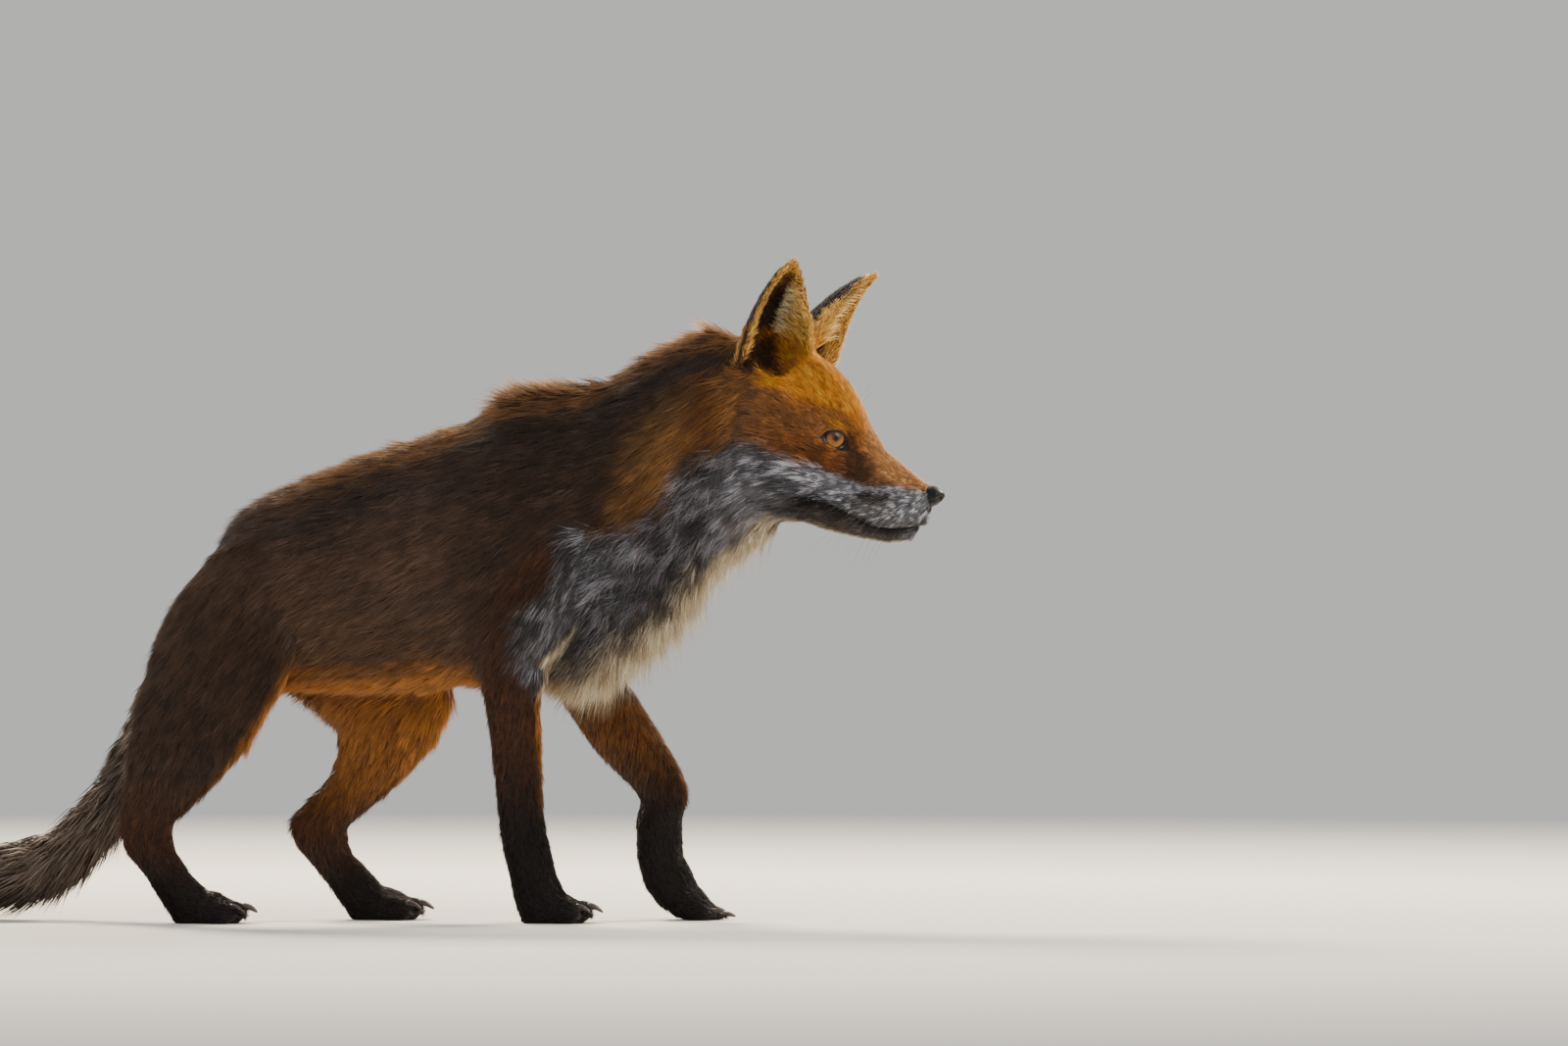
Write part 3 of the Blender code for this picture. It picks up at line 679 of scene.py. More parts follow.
def head_colour(places, normals):
    """Gold over the crown, rust round the eyes, and a pale cheek with dark marks at the lips."""
    head = in_head(places)
    ahead, _, up = head.T
    rise = normals[:, 2]
    colour = full("temple", len(places))
    colour = tint(colour, "rust", ease(up, 356, 338) * ease(ahead, -50, -25))
    colour = tint(colour, "rust_dark", ease(up, 345, 326) * ease(ahead, -42, -10) * 0.85)
    colour = tint(colour, "rust", spot(ahead, up, (4, 328), (11, 9)) * 0.8)
    colour = tint(colour, "bridge", ease(ahead, 8, 17) * ease(rise, 0.55, 0.1) * 0.8)
    crown = ease(up - np.interp(ahead, *zip(*CROWN_LINE)), -5, 7) * ease(ahead, 26, 12)
    for side in EYES:
        crown = crown * (1 - 0.85 * ease(from_lids(side, places)[2], 25, 15))
    colour = tint(colour, "gold", crown)
    colour = tint(colour, "gold", ease(rise, 0.05, 0.50) * ease(ahead, 34, 14) * 0.9)
    colour = tint(colour, "olive", ease(ahead, -44, -58) * ease(up, 400, 384) * 0.6)
    colour = tint(colour, "muzzle", ease(rise, 0.0, 0.45) * ease(ahead, 14, 32))
    line = np.interp(ahead, *zip(*FACE_LINE))
    pale = ease(line - up, -2.2, 2.2)
    lower = tint(full("grey", len(places)), "pale", np.full(len(places), 0.30))
    lower = tint(lower, "pale", ease(ahead, -44, -8) * ease(line - up, 17, 6) * 0.9)
    lower = tint(lower, "jaw", ease(line - up, 14, 28) * ease(ahead, 20, 0) * ease(ahead, -44, -20) * 0.9)
    lower = tint(lower, "smoke", ease(mottle(places, 11, 5), 0.2, 1.0) * ease(ahead, -10, -40) * 0.7)
    lower = tint(lower, "pale", spot(ahead, up, (50, 298), (14, 10)) * 0.9)
    lower = tint(lower, "soot", np.clip(1.5 * spot(ahead, up, (29, 302.5), (15, 4.8)), 0, 0.97))
    lower = tint(lower, "smoke", ease(mottle(places, 4, 9), 0.2, 0.9) * ease(ahead, 20, 34) * 0.6)
    lips, on = from_mouth(head)
    above = np.interp(ahead, (-30, -10, 22, 40), (1.2, 3.2, 4.5, 1.2))
    band = ease(lips, above + 2.0, above - 1.5) * ease(lips, -6.0, -4) * ease(ahead, -32, -12)
    lower = tint(lower, "soot", band * 0.95)
    chin = ease(lips, -1, -5) * ease(ahead, -16, 6)
    lower = tint(lower, "chin", chin * (1 - band) * 0.9)
    lower = tint(lower, "pale", spot(ahead, lips, (54, -4), (5, 2.5)) * 0.35)
    lower = tint(lower, "cream", ease(rise, -0.80, -0.98) * 0.5)
    under = normals @ THROAT_WAY
    lower = tint(lower, "cream", ease(under, 0.52, 0.84) * ease(ahead, -38, -50))
    lower = tint(lower, "soot", ease(from_nose_pad(places), 1.30, 1.08) * 0.85)
    lower = tint(lower, "soot", ease(np.abs(lips), 1.9, 0.7) * on * ease(ahead, 62, 58))
    return colour + (lower - colour) * pale[:, None]


EAR_BOWL = (30, 19, 20)           # the hollow at an ear's root: along the ear, across it and out of it
EAR_BOWL_UP = 24                  # how far up the ear its middle is
POCKET_FOLD = (-12, 3.2)          # the fold of the rear pocket: how far out of the cup, and its width
POCKET_SLIT = -7.5                # the dark slit beside it


def faces_cup(name, places, normals):
    """How directly the skin faces the line up the middle of an ear's cup, -1 to 1."""
    ear = EARS[name]
    rise = in_ear(name, places)[0]
    axis = ear["base"] + rise[:, None] * ear["axis"] * EAR_LENGTH * MM + ear["facing"] * 5 * MM
    return np.sum(unit(axis - places) * normals, axis=1)


def ear_bowl(name, places, normals):
    """Where the skin forms the floor of an ear's cup and looks in at its middle, 0 to 1."""
    ear = EARS[name]
    rise, front, out = in_ear(name, places)
    along = rise * EAR_LENGTH - EAR_BOWL_UP
    reach = np.sqrt((along / EAR_BOWL[0]) ** 2 + (front / EAR_BOWL[1]) ** 2 + ((out - 2) / EAR_BOWL[2]) ** 2)
    centre = ear["base"] + (ear["axis"] * EAR_BOWL_UP + ear["facing"] * 2) * MM
    looks_in = np.sum(unit(centre - places) * normals, axis=1)
    return ease(reach, 1.75, 1.45) * ease(looks_in, 0.0, 0.35) * ease(out, 13, 6)


def sculpt_ear_bowls(places, normals, weight):
    """Deepens the hollow that each ear opens from, and folds the pocket at its rear edge."""
    for name, ear in EARS.items():
        rise, front, out = in_ear(name, places)
        pocket = (
            ease(front, -4, -8) * ease(rise, 0.36, 0.28) * ease(rise, -0.06, 0.02)
            * ease(np.abs(front), 34, 30)
        )
        fold = 1.8 * stripe(out, *POCKET_FOLD) - 1.6 * stripe(out, POCKET_SLIT, 1.5)
        places = places + normals * (pocket * fold * MM)[:, None]
        sink = ear_bowl(name, places, normals) * weight
        places = places - (ear["facing"] * 3.0 + ear["axis"] * 2.0) * (sink * MM)[:, None]
    return places


EAR_ROOT_ROUNDS = 7
HIP = (-122, 272)                 # the point of the hip, mm, and how far round it the skin is evened
HIP_REACH = (42, 26)
HIP_ROUNDS = 26


def even_out(places, edges, rounds, weight):
    """Draws places towards the middle of their neighbours, by a weight for each."""
    for _ in range(rounds):
        places = places + (relaxed(places, edges, 1) - places) * weight[:, None]
    return places


def smooth_ear_roots_and_hips(places, edges):
    """Evens out the seams where the ears join the head, and the edge where the thighs join the rump."""
    near = np.zeros(len(places))
    for name in EARS:
        rise, front, out = in_ear(name, places)
        beside = ease(np.hypot(front, out + 6), 44, 34)
        near = np.maximum(near, ease(rise, 0.34, 0.22) * ease(rise, -0.30, -0.15) * beside)
    places = even_out(places, edges, EAR_ROOT_ROUNDS, near)
    x, _, z = places.T / MM
    hip = np.clip(1.4 * spot(x, z, HIP, HIP_REACH), 0, 1)
    return even_out(places, edges, HIP_ROUNDS, hip)


def ear_colour(name, places, normals):
    """Black behind, golden along its edges, cream hair inside the front edge and a deep brown cup."""
    rise, front, out = in_ear(name, places)
    inside = ease(faces_cup(name, places, normals), -0.15, 0.35)
    edge = np.interp(rise, (0.30, 0.45, 0.62, 0.85), (-13, -13, -6.5, -3.5))
    back = full("ear_back", len(places))
    back = tint(back, "back", ease(rise, 0.42, 0.28) * 0.8)
    back = tint(back, "olive", ease(rise, 0.26, 0.08) * 0.9)
    back = tint(back, "ear_gold", ease(front, -1, 5) * ease(out, edge - 1.5, edge + 1.5) * 0.95)
    # the small pocket at the rear edge: a fold with a dark slit beside it
    pocket = ease(front, -4, -8) * ease(rise, 0.36, 0.30) * ease(rise, -0.06, 0.0)
    back = tint(back, "ear_gold", pocket * stripe(out, *POCKET_FOLD) * 0.6)
    back = tint(back, "soot", pocket * stripe(out, POCKET_SLIT, 1.6))
    back = tint(back, "ear_gold", ease(out, -5, -2) * 0.9)
    back = tint(back, "gold", ease(front, 2, 12) * ease(rise, 0.30, 0.12) * 0.8)
    cup = full("ear_deep", len(places))
    cup = tint(cup, "ear_amber", ease(rise, 0.58, 0.80) * 0.9)
    cup = tint(cup, "ear_amber", ease(front, 4, 11) * 0.8)
    cup = tint(cup, "ear_cream", ease(front, 7, 12) * ease(rise, 0.80, 0.60))
    cup = tint(cup, "ear_gold", ease(front, 13, 18) * ease(rise, 1.0, 0.8) * 0.9)
    cup = tint(cup, "ear_gold", ease(out, -8, -3.5) * 0.95)
    if name == "ear_left":
        cup = tint(cup, "ear_gold", ease(out, -15, -9) * ease(front, 4, -4) * 0.85)
    cup = tint(cup, "gold", ease(rise, -0.02, -0.10) * 0.8)
    return back + (cup - back) * inside[:, None]


def foreleg_colour(places, normals):
    """Dark brown above and black below, with a warmer inner side and painted rim light down the front."""
    _, y, z = places.T / MM
    colour = full("leg", len(places))
    colour = tint(colour, "umber", ease(z, 175, 235) * 0.40)
    inner = ease(-normals[:, 1] * np.sign(y), 0.1, 0.7) * ease(z, 90, 140)
    colour = tint(colour, "ochre", inner * 0.45)
    # painted rim light: orange down the front of the leg
    colour = tint(colour, "flame", ease(normals[:, 0], 0.72, 0.96) * ease(z, 62, 110) * 0.5)
    colour = tint(colour, "black", ease(z, 138, 66) * 0.97)
    return with_bib(colour, places, normals)


def hindleg_colour(places, normals):
    """The flank's brown above and black below, with an orange inner side and painted rim light down the
    front.
    """
    _, y, z = places.T / MM
    colour = full("thigh", len(places))
    colour = tint(colour, "brown", ease(z, 190, 250) * 0.7)
    inner = ease(-normals[:, 1] * np.sign(y), 0.1, 0.7) * ease(z, 60, 100)
    colour = tint(colour, "ochre", inner * 0.7)
    colour = tint(colour, "flame", inner * 0.35 * ease(z, 205, 180))
    # painted rim light: orange down the front of the leg
    colour = tint(colour, "flame", ease(normals[:, 0], 0.45, 0.90) * ease(z, 60, 90) * 0.85)
    colour = tint(colour, "leg", ease(z, 120, 80) * 0.8)
    colour = tint(colour, "black", ease(z, 66, 24) * 0.92)
    return colour * (1 + 0.12 * mottle(places, 30, 8))[:, None]


def tail_colour(places, normals):
    """Grey-brown, with a dark spot near its root and a pale tip behind a dark ring."""
    x, _, z = places.T / MM
    colour = full("tail", len(places))
    colour = tint(colour, "umber", ease(normals[:, 2], 0.1, -0.6) * 0.5)
    colour = tint(colour, "soot", spot(x, z, (-196, 128), (16, 16)) * 0.8)
    colour = tint(colour, "back", ease(x, -250, -320) * 0.45)
    colour = tint(colour, "soot", ease(x, -318, -334) * ease(x, -352, -340) * 0.5)
    return tint(colour, "cream", ease(x, -338, -352))


def coat_colour(places, normals, group):
    """The coat's colour at places on the skin, blended where parts of the body meet."""
    total = np.zeros((len(places), 3))
    share = group / np.maximum(group.sum(1, keepdims=True), 1e-6)
    painters = {
        "head": head_colour, "neck": neck_colour, "trunk": trunk_colour,
        "foreleg": foreleg_colour, "hindleg": hindleg_colour, "tail": tail_colour,
        "ear_right": lambda p, n: ear_colour("ear_right", p, n),
        "ear_left": lambda p, n: ear_colour("ear_left", p, n),
    }
    for k, name in enumerate(GROUP_NAMES):
        chosen = share[:, k] > 0.004
        if chosen.any():
            total[chosen] += painters[name](places[chosen], normals[chosen]) * share[chosen, k:k + 1]
    # the hollow each ear opens from is darkened to the cup's deep brown: partly the ear's own colour, partly
    # painted shade in the hollow
    for name in EARS:
        rise, front, _ = in_ear(name, places)
        low = ease(rise, -0.13, -0.06) * ease(front, 15, 7) * (1 - share[:, GROUP_NAMES.index(name)])
        total = tint(total, "ear_deep", ear_bowl(name, places, normals) * low * 0.97)
    return np.clip(total, 0.002, 0.95)


def grizzle(places, normals, group):
    """How far pale and dark hairs stand apart, 0 to 1: most in the bib and on the grey of the face."""
    share = group / np.maximum(group.sum(1, keepdims=True), 1e-6)
    head = in_head(places)
    line = np.interp(head[:, 0], *zip(*FACE_LINE))
    cheek = ease(line - head[:, 2], -3, 3) * ease(line - head[:, 2], 34, 20) * share[:, 0]
    under = ease(normals @ THROAT_WAY, 0.5, 0.9)
    bib = bib_of(places) * (1 - 0.7 * under) * (1 - share[:, 0])
    body = 0.22 * (1 - share[:, 1] - share[:, 2])
    return np.clip(np.maximum(np.maximum(0.8 * cheek, 0.80 * bib), body), 0, 1)


# ---------------------------------------------------------------- the lie of the coat

def tail_line():
    """Points down the middle of the tail, from its root to its tip."""
    root, brush, tip = (middle(name) for name in ("tail_root", "tail_brush", "tail_tip"))
    root_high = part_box("tail_root")[1]
    tip_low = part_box("tail_tip")[0]
    start = Vector((root_high.x, root.y, root_high.z))
    end = Vector((tip_low.x, tip.y, tip.z))
    return [start, root, brush, tip, end]


def lie_of_coat(skin):
    """The direction in which hair lies at each vertex of the skin."""
    places, normals, group = skin["place"], skin["normal"], skin["group"]
    names = np.array(FILLED)[skin["node"]]
    x, _, z = places.T / MM
    rise = normals[:, 2]
    way = np.zeros_like(places)

    def lay(chosen, ahead, up, aside=0.0):
        if np.ndim(up):
            way[chosen] = np.stack(np.broadcast_arrays(ahead, aside, up), -1)[chosen]
        else:
            way[chosen] = (ahead, aside, up)

    kinds = np.array([kind_of(n) for n in names])
    lay(kinds == "trunk", -1.0, -0.30 - 0.25 * (1 - np.abs(rise)))
    lay(kinds == "neck", -0.85, -0.62)
    lay(kinds == "upper_arm", -0.55, -0.85)
    lay(kinds == "forearm", -0.16, -1.0)
    lay(kinds == "thigh", -0.62, -0.80)
    lay(kinds == "shank", -0.38, -0.95)
    for paw in ("forepaw", "hindpaw"):
        lay(kinds == paw, 0.9 * ease(z, 46, 14) + 0.15, -1.0 + 0.75 * ease(z, 40, 10))
    line = tail_line()
    for start, end in zip(line, line[1:]):
        chosen = (group[:, GROUP_NAMES.index("tail")] > 0.5) & (x >= end.x / MM) & (x <= start.x / MM + 4)
        way[chosen] = np.array((end - start).normalized())
    on_head = (kinds == "head") | (kinds == "lower_jaw")
    from_nose = unit(places - np.array(head_place(NOSE_AHEAD + 4, 0, NOSE_UP + 2)))
    droop = ease(in_head(places)[:, 0], -15, -55) * ease(in_head(places)[:, 2], 365, 330)
    from_nose[:, 2] -= 0.45 * droop
    way[on_head] = from_nose[on_head]
    for name, ear in EARS.items():
        chosen = names == name
        way[chosen] = ear["axis"]
    for _ in range(12):
        way = relaxed(way, skin["edges"], 2)
        way = unit(way - normals * np.sum(way * normals, axis=1)[:, None])
    return way


def raise_coat(skin):
    """Where the coat stands out or is longer: crest, throat, belly, tail, the back of the head and inside the
    ears.
    """
    places, normals = skin["place"], skin["normal"]
    x, _, z = places.T / MM
    rise = normals[:, 2]
    group = skin["group"]
    neck = group[:, GROUP_NAMES.index("neck")]
    trunk = group[:, GROUP_NAMES.index("trunk")]
    body = np.clip(neck + trunk, 0, 1)
    crest = ease(rise, 0.78, 0.96) * body * ease(x, -190, -40)
    skin["lift"] = skin["lift"] + (6 + 12 * ease(x, 0, 90)) * crest * ease(x, 235, 170)
    withers = crest * stripe(x, 95, 40)
    skin["lift"] = skin["lift"] + 8 * withers
    skin["length"] = skin["length"] * (1 + 0.12 * withers)
    tail = group[:, GROUP_NAMES.index("tail")] * ease(x, -178, -145)
    skin["length"] = skin["length"] + (10 - skin["length"]) * tail
    skin["lift"] = skin["lift"] + (10 - skin["lift"]) * tail
    skin["width"] = skin["width"] + (1.1 - skin["width"]) * tail
    skin["density"] = skin["density"] * (1 + 0.9 * tail)
    back = ease(rise, 0.25, 0.6) * trunk * ease(x, 20, -30)
    skin["lift"] = skin["lift"] + 4 * back
    rump = ease(x, -100, -135) * trunk
    corner = spot(x, z, (-126, 268), (24, 17))
    skin["length"] = skin["length"] * (1 - 0.25 * rump) * (1 - 0.40 * corner)
    skin["lift"] = skin["lift"] * (1 - 0.6 * corner)
    ruff = group[:, 0] * ease(in_head(places)[:, 0], -34, -58)
    skin["length"] = skin["length"] + (15 - skin["length"]) * ruff * (skin["length"] < 15)
    skin["width"] = skin["width"] + 0.12 * ruff
    bib = bib_of(places)
    under = normals @ THROAT_WAY
    hang = ease(under, 0.45, 0.85) * ease(x, 110, 150) * np.clip(body + group[:, 0], 0, 1)
    hang = hang * ease(x, 290, 276)
    skin["lift"] = skin["lift"] + 12 * bib * body + 26 * hang
    skin["length"] = np.maximum(skin["length"] * (1 + 0.10 * hang), 15 * hang)
    skin["loose"] = hang
    skin["draw"] = np.clip(skin["draw"] + 0.30 * bib * body, 0, 0.85)
    belly = ease(rise, -0.5, -0.85) * trunk * ease(x, 90, 60)
    skin["lift"] = skin["lift"] + 14 * belly
    skin["length"] = skin["length"] * (1 - 0.35 * belly)
    skin["ruffle"] = 0.10 + 0.14 * bib * body + 0.10 * crest
    # painted rim light: golden hair tips along the ridge of the neck and back, and where the belly turns
    # under
    ridge = ease(rise, 0.50, 0.97) * body * ease(x, -120, -20)
    skin["tipped"] = np.clip(0.62 * ridge + 0.5 * ease(rise, -0.60, -0.90) * trunk, 0, 1)
    for name, ear in EARS.items():
        off_ear = 1 - group[:, GROUP_NAMES.index(name)]
        bowl = ear_bowl(name, places, normals) * off_ear
        root = ease(np.linalg.norm(places - ear["base"] - ear["axis"] * 0.010, axis=1) / MM, 52, 30) * off_ear
        skin["length"] = skin["length"] + (7.5 - skin["length"]) * root * (skin["length"] > 7.5)
        skin["width"] = skin["width"] + (0.8 - skin["width"]) * root * (skin["width"] > 0.8)
        skin["density"] = skin["density"] * (1 + 1.6 * root * ease(skin["density"], 140, 90))
        skin["lift"] = skin["lift"] + (15 - skin["lift"]) * root * (skin["lift"] > 15)
        skin["length"] = skin["length"] * (1 - 0.35 * bowl)
        skin["lift"] = skin["lift"] + (32 - skin["lift"]) * bowl
    # skin that is bare, or nearly so
    head = in_head(places)
    lips, on = from_mouth(head)
    on_head = ease(group[:, 0], 0.3, 0.7)
    bare = ease(np.abs(lips), 1.5, 0.5) * on * on_head * ease(head[:, 0], 64, 60)
    bare = np.maximum(bare, ease(from_nose_pad(places), 1.02, 0.94) * on_head)
    for side in EYES:
        beyond, rim, reach, _ = from_lids(side, places)
        lid = np.maximum(ease(beyond, 1.5, 0.7), ease(rim, 0.7, -0.3)) * (reach < 19)
        bare = np.maximum(bare, lid)
        near = ease(beyond, 12, 1) * ease(reach, 24, 16)
        skin["length"] = skin["length"] * (1 - 0.5 * near)
        skin["width"] = skin["width"] * (1 - 0.28 * near)
        skin["lift"] = skin["lift"] * (1 - 0.3 * near)
        skin["density"] = skin["density"] * (1 + 0.9 * near)
    sole = ease(z, 5.0, 2.0) * ease(rise, -0.3, -0.7)
    skin["bare"] = np.clip(np.maximum(bare, sole), 0, 1)
    skin["sole"] = sole


# ---------------------------------------------------------------- tufts

SHORT_FACES, LONG_FACES = 4, 10    # triangles in a tuft with one ring, and with two
TUFT_FIELDS = (
    "place", "normal", "way", "length", "width", "lift", "lock",
    "draw", "ruffle", "group", "bare", "tipped", "loose",
)
FLOOR_GAP = 0.0004                # how far hair stays off the floor, m
LOW_ROOT, ROOT_RAISE = 0.0012, 0.0008
# Where a tuft's corners lie on its patch of the map: three for each ring, and its tip.
RING_SPREAD = [(-0.5, -0.5), (0.0, -0.35), (0.5, -0.5), (-0.4, 0.0), (0.0, 0.1), (0.4, 0.0)]
TIP_SPREAD = (0.0, 0.5)


def scatter(skin, chosen, rng):
    """Roots spread over the chosen triangles, by the coat's density. Returns triangles and weights."""
    triangles = skin["triangles"][chosen]
    a, b, c = (skin["place"][triangles[:, k]] for k in range(3))
    area = np.linalg.norm(np.cross(b - a, c - a), axis=1) / 2 / 0.0001
    density = skin["density"][triangles].mean(1) * ease(skin["bare"][triangles].mean(1), 0.6, 0.3)
    count = np.floor(area * density + rng.random(len(triangles))).astype(int)
    picked = np.repeat(chosen, count)
    weights = rng.random((len(picked), 2))
    folded = weights.sum(1) > 1
    weights[folded] = 1 - weights[folded]
    return picked, np.column_stack([1 - weights.sum(1), weights])


def carried(skin, key, corners, weights):
    """A field of the skin at the roots."""
    values = skin[key][corners]
    if values.ndim == 2:
        return np.sum(values * weights, axis=1)
    return np.sum(values * weights[:, :, None], axis=1)


def drawn_to_locks(roots, way, spacing, rng):
    """The offset of each root from the middle of its lock, across the lie, and that lock's number."""
    order = rng.permutation(len(roots))
    wanted = max(int(len(roots) * 0.02), 8)
    area = 1.0 / np.maximum(spacing ** 2, 1)
    keep = rng.random(len(roots)) < area * 1.6
    centres = order[keep[order]][: max(wanted * 12, 8)]
    tree = KDTree(len(centres))
    for number, index in enumerate(centres):
        tree.insert(roots[index], number)
    tree.balance()
    nearest = np.array([tree.find(Vector(p))[1] for p in roots])
    offset = roots - roots[centres[nearest]]
    along = np.sum(offset * way, axis=1)[:, None] * way
    return offset - along, nearest


def tufts(name, skin, chosen, rng, short):
    """One piece of coat: closed, three-sided tufts with a keel, each lying over the next."""
    picked, weights = scatter(skin, chosen, rng)
    limit = PIECE_LIMIT // (SHORT_FACES if short else LONG_FACES)
    if len(picked) > limit:
        kept = np.sort(rng.permutation(len(picked))[:limit])
        picked, weights = picked[kept], weights[kept]
    corners = skin["triangles"][picked]
    count = len(picked)
    field = {key: carried(skin, key, corners, weights) for key in TUFT_FIELDS}
    normal = unit(field["normal"])
    way = unit(field["way"] - normal * np.sum(field["way"] * normal, axis=1)[:, None])
    aside = np.cross(way, normal)
    depth = np.clip(0.04 + 0.020 * field["length"], 0.05, 0.4) * MM
    roots = field["place"] - normal * depth[:, None]

    # tufts of one lock share their turn, length and tone
    density = np.maximum(carried(skin, "density", corners, weights), 1)
    spacing = np.maximum(field["lock"], 2) / np.sqrt(100 / density)
    offset, lock = drawn_to_locks(roots, way, spacing, rng)
    locks = lock.max() + 1
    lock_turn = rng.normal(size=locks)[lock]
    lock_lift = rng.normal(size=locks)[lock]
    lock_tone = rng.normal(size=locks)[lock]
    turn = field["ruffle"] * (1.1 * lock_turn + 0.9 * rng.normal(size=count))
    loose = field["loose"]
    stray = rng.random(count) < 0.03 + 0.10 * loose
    lift = np.radians(field["lift"]) * (1 + 0.22 * lock_lift + 0.20 * rng.normal(size=count))
    lift = np.clip(lift + stray * 0.10, 0.05, 1.2)
    length = field["length"] * (1 + 0.10 * rng.normal(size=count) + 0.07 * lock_lift)
    length = length * (1 + (0.14 + 0.65 * loose) * stray)
    length = np.clip(length, 1.5, 44) * MM * ease(field["bare"], 1.0, 0.0) ** 0.5
    width = field["width"] * MM * rng.uniform(0.75, 1.2, count) * np.where(stray, 0.6, 1)

    lie = unit(way * np.cos(turn)[:, None] + aside * np.sin(turn)[:, None])
    first = lie * np.cos(lift)[:, None] + normal * np.sin(lift)[:, None]
    flat = lift * 0.45
    second = lie * np.cos(flat)[:, None] + normal * np.sin(flat)[:, None]
    second[:, 2] -= 0.10 * np.clip(length / 0.03, 0, 1)
    second = unit(second)
    draw = offset * field["draw"][:, None]
    across = unit(np.cross(first, normal))
    keel = unit(np.cross(across, first))

    jitter = rng.normal(size=(count, 3)) * (0.6 * MM + 0.13 * length[:, None])
    colour = coat_colour(field["place"] + jitter, normal, field["group"])
    tone = np.exp(0.13 * lock_tone + 0.20 * rng.normal(size=count))
    # grey places are pale and dark hairs side by side, lock by lock
    salt = grizzle(field["place"], normal, field["group"])
    bib = bib_of(field["place"])
    pale = (0.6 + 0.7 * bib) * lock_tone + (1 - 0.3 * bib) * rng.normal(size=count) > 0.1 + 0.6 * bib
    tone = tone * np.where(pale, 1.70, 0.32) ** salt
    tone = tone * np.where(rng.random(count) < 0.10, 0.5, 1.0)
    hair = colour * tone[:, None]
    # painted rim light: tufts on the crest and belly edge turn golden, most of all at their tips
    painted_rim_tips = (field["tipped"] * (rng.random(count) < 0.65))[:, None]
    hair = hair + (COLOUR["fringe"] - hair) * painted_rim_tips * 0.40
    light = np.where(rng.random(count) < 0.22, 1.9, 1.25)[:, None]
    root_colour = hair * np.array([0.36, 0.32, 0.30])
    tip_colour = hair * light + np.array([0.006, 0.005, 0.004])
    tip_colour = tip_colour + (COLOUR["fringe"] * 1.25 - tip_colour) * painted_rim_tips

    if short:
        tip = roots + first * length[:, None] * 0.55 + second * length[:, None] * 0.45 - draw * 0.8
        rings = [(roots, 1.0)]
        shades = [root_colour * 0.55 + hair * 0.45]
    else:
        mid = roots + first * length[:, None] * 0.48 - draw * 0.4
        tip = mid + second * length[:, None] * 0.52 - draw * 0.6
        rings = [(roots, 0.8), (mid, 0.85)]
        shades = [root_colour, hair]
    rings = [
        (np.where(centre[:, 2:3] < LOW_ROOT, centre + (0, 0, ROOT_RAISE), centre), size)
        for centre, size in rings
    ]
    tip[:, 2] = np.maximum(tip[:, 2], FLOOR_GAP)

    verts = []
    tints = []
    for (centre, size), shade in zip(rings, shades):
        half = across * (width * size * 0.5)[:, None]
        ridge = keel * (width * size * 0.42)[:, None]
        verts += [centre - half, centre + ridge, centre + half]
        # the keel's corner is a little lighter: a painted highlight along the top of each tuft
        tints += [shade, shade * 1.12, shade]
    verts.append(tip)
    tints.append(tip_colour)
    return tuft_mesh(name, skin, picked, weights, np.stack(verts, 1), np.stack(tints, 1))


def tuft_mesh(name, skin, picked, weights, verts, tints):
    """Makes the mesh of a piece of coat, with its colours and its map."""
    count, size, _ = verts.shape
    rings = (size - 1) // 3
    pattern = [(0, 2, 1)]
    for ring in range(rings - 1):
        low, high = 3 * ring, 3 * ring + 3
        for i in range(3):
            j = (i + 1) % 3
            pattern += [(low + i, low + j, high + j), (low + i, high + j, high + i)]
    last = 3 * (rings - 1)
    pattern += [(last + i, last + (i + 1) % 3, size - 1) for i in range(3)]
    faces = (np.array(pattern)[None] + (np.arange(count) * size)[:, None, None]).reshape(-1, 3)

    mesh = bpy.data.meshes.new(name)
    mesh.vertices.add(count * size)
    mesh.vertices.foreach_set("co", verts.astype(np.float32).ravel())
    mesh.loops.add(len(faces) * 3)
    mesh.loops.foreach_set("vertex_index", faces.astype(np.int32).ravel())
    mesh.polygons.add(len(faces))
    mesh.polygons.foreach_set("loop_start", np.arange(0, len(faces) * 3, 3, dtype=np.int32))
    mesh.update(calc_edges=True)
    mesh.polygons.foreach_set("use_smooth", np.ones(len(faces), bool))

    colour = mesh.color_attributes.new("coat", "FLOAT_COLOR", "POINT")
    shades = np.concatenate([np.clip(tints, 0, 1), np.ones((count, size, 1))], 2)
    colour.data.foreach_set("color", shades.astype(np.float32).ravel())

    corner_uv = skin["uv"][skin["loops"][picked]]
    root_uv = np.sum(corner_uv * weights[:, :, None], axis=1)
    spread = RING_SPREAD[:3 * rings] + [TIP_SPREAD]
    uv_of_vert = root_uv[:, None, :] + np.array(spread)[None] * PATCH
    layer = mesh.uv_layers.new(name="OFBake")
    layer.uv.foreach_set("vector", uv_of_vert.reshape(-1, 2)[faces.ravel()].astype(np.float32).ravel())
    return add_mesh(name, mesh)


# Each piece of coat: the nodes that it grows on, whether its tufts are short, and a material's name.
PIECES = {
    "coat_face": (GROUPS["head"], True, "rufous_coat"),
    "coat_ears": (pairs("ear"), True, "ear_velvet"),
    "coat_neck": (GROUPS["neck"], True, "rufous_coat"),
    "coat_trunk": (GROUPS["trunk"], True, "brown_coat"),
    "coat_shoulders": (pairs("upper_arm"), True, "rufous_coat"),
    "coat_forelegs": (pairs("forearm", "forepaw"), True, "black_stocking"),
    "coat_thighs": (pairs("thigh"), True, "rufous_coat"),
    "coat_shanks": (pairs("shank"), True, "rufous_coat"),
    "coat_hindpaws": (pairs("hindpaw"), True, "black_stocking"),
    "coat_tail": (GROUPS["tail"], False, "brown_coat"),
}
HALVED = ("coat_trunk", "coat_face")


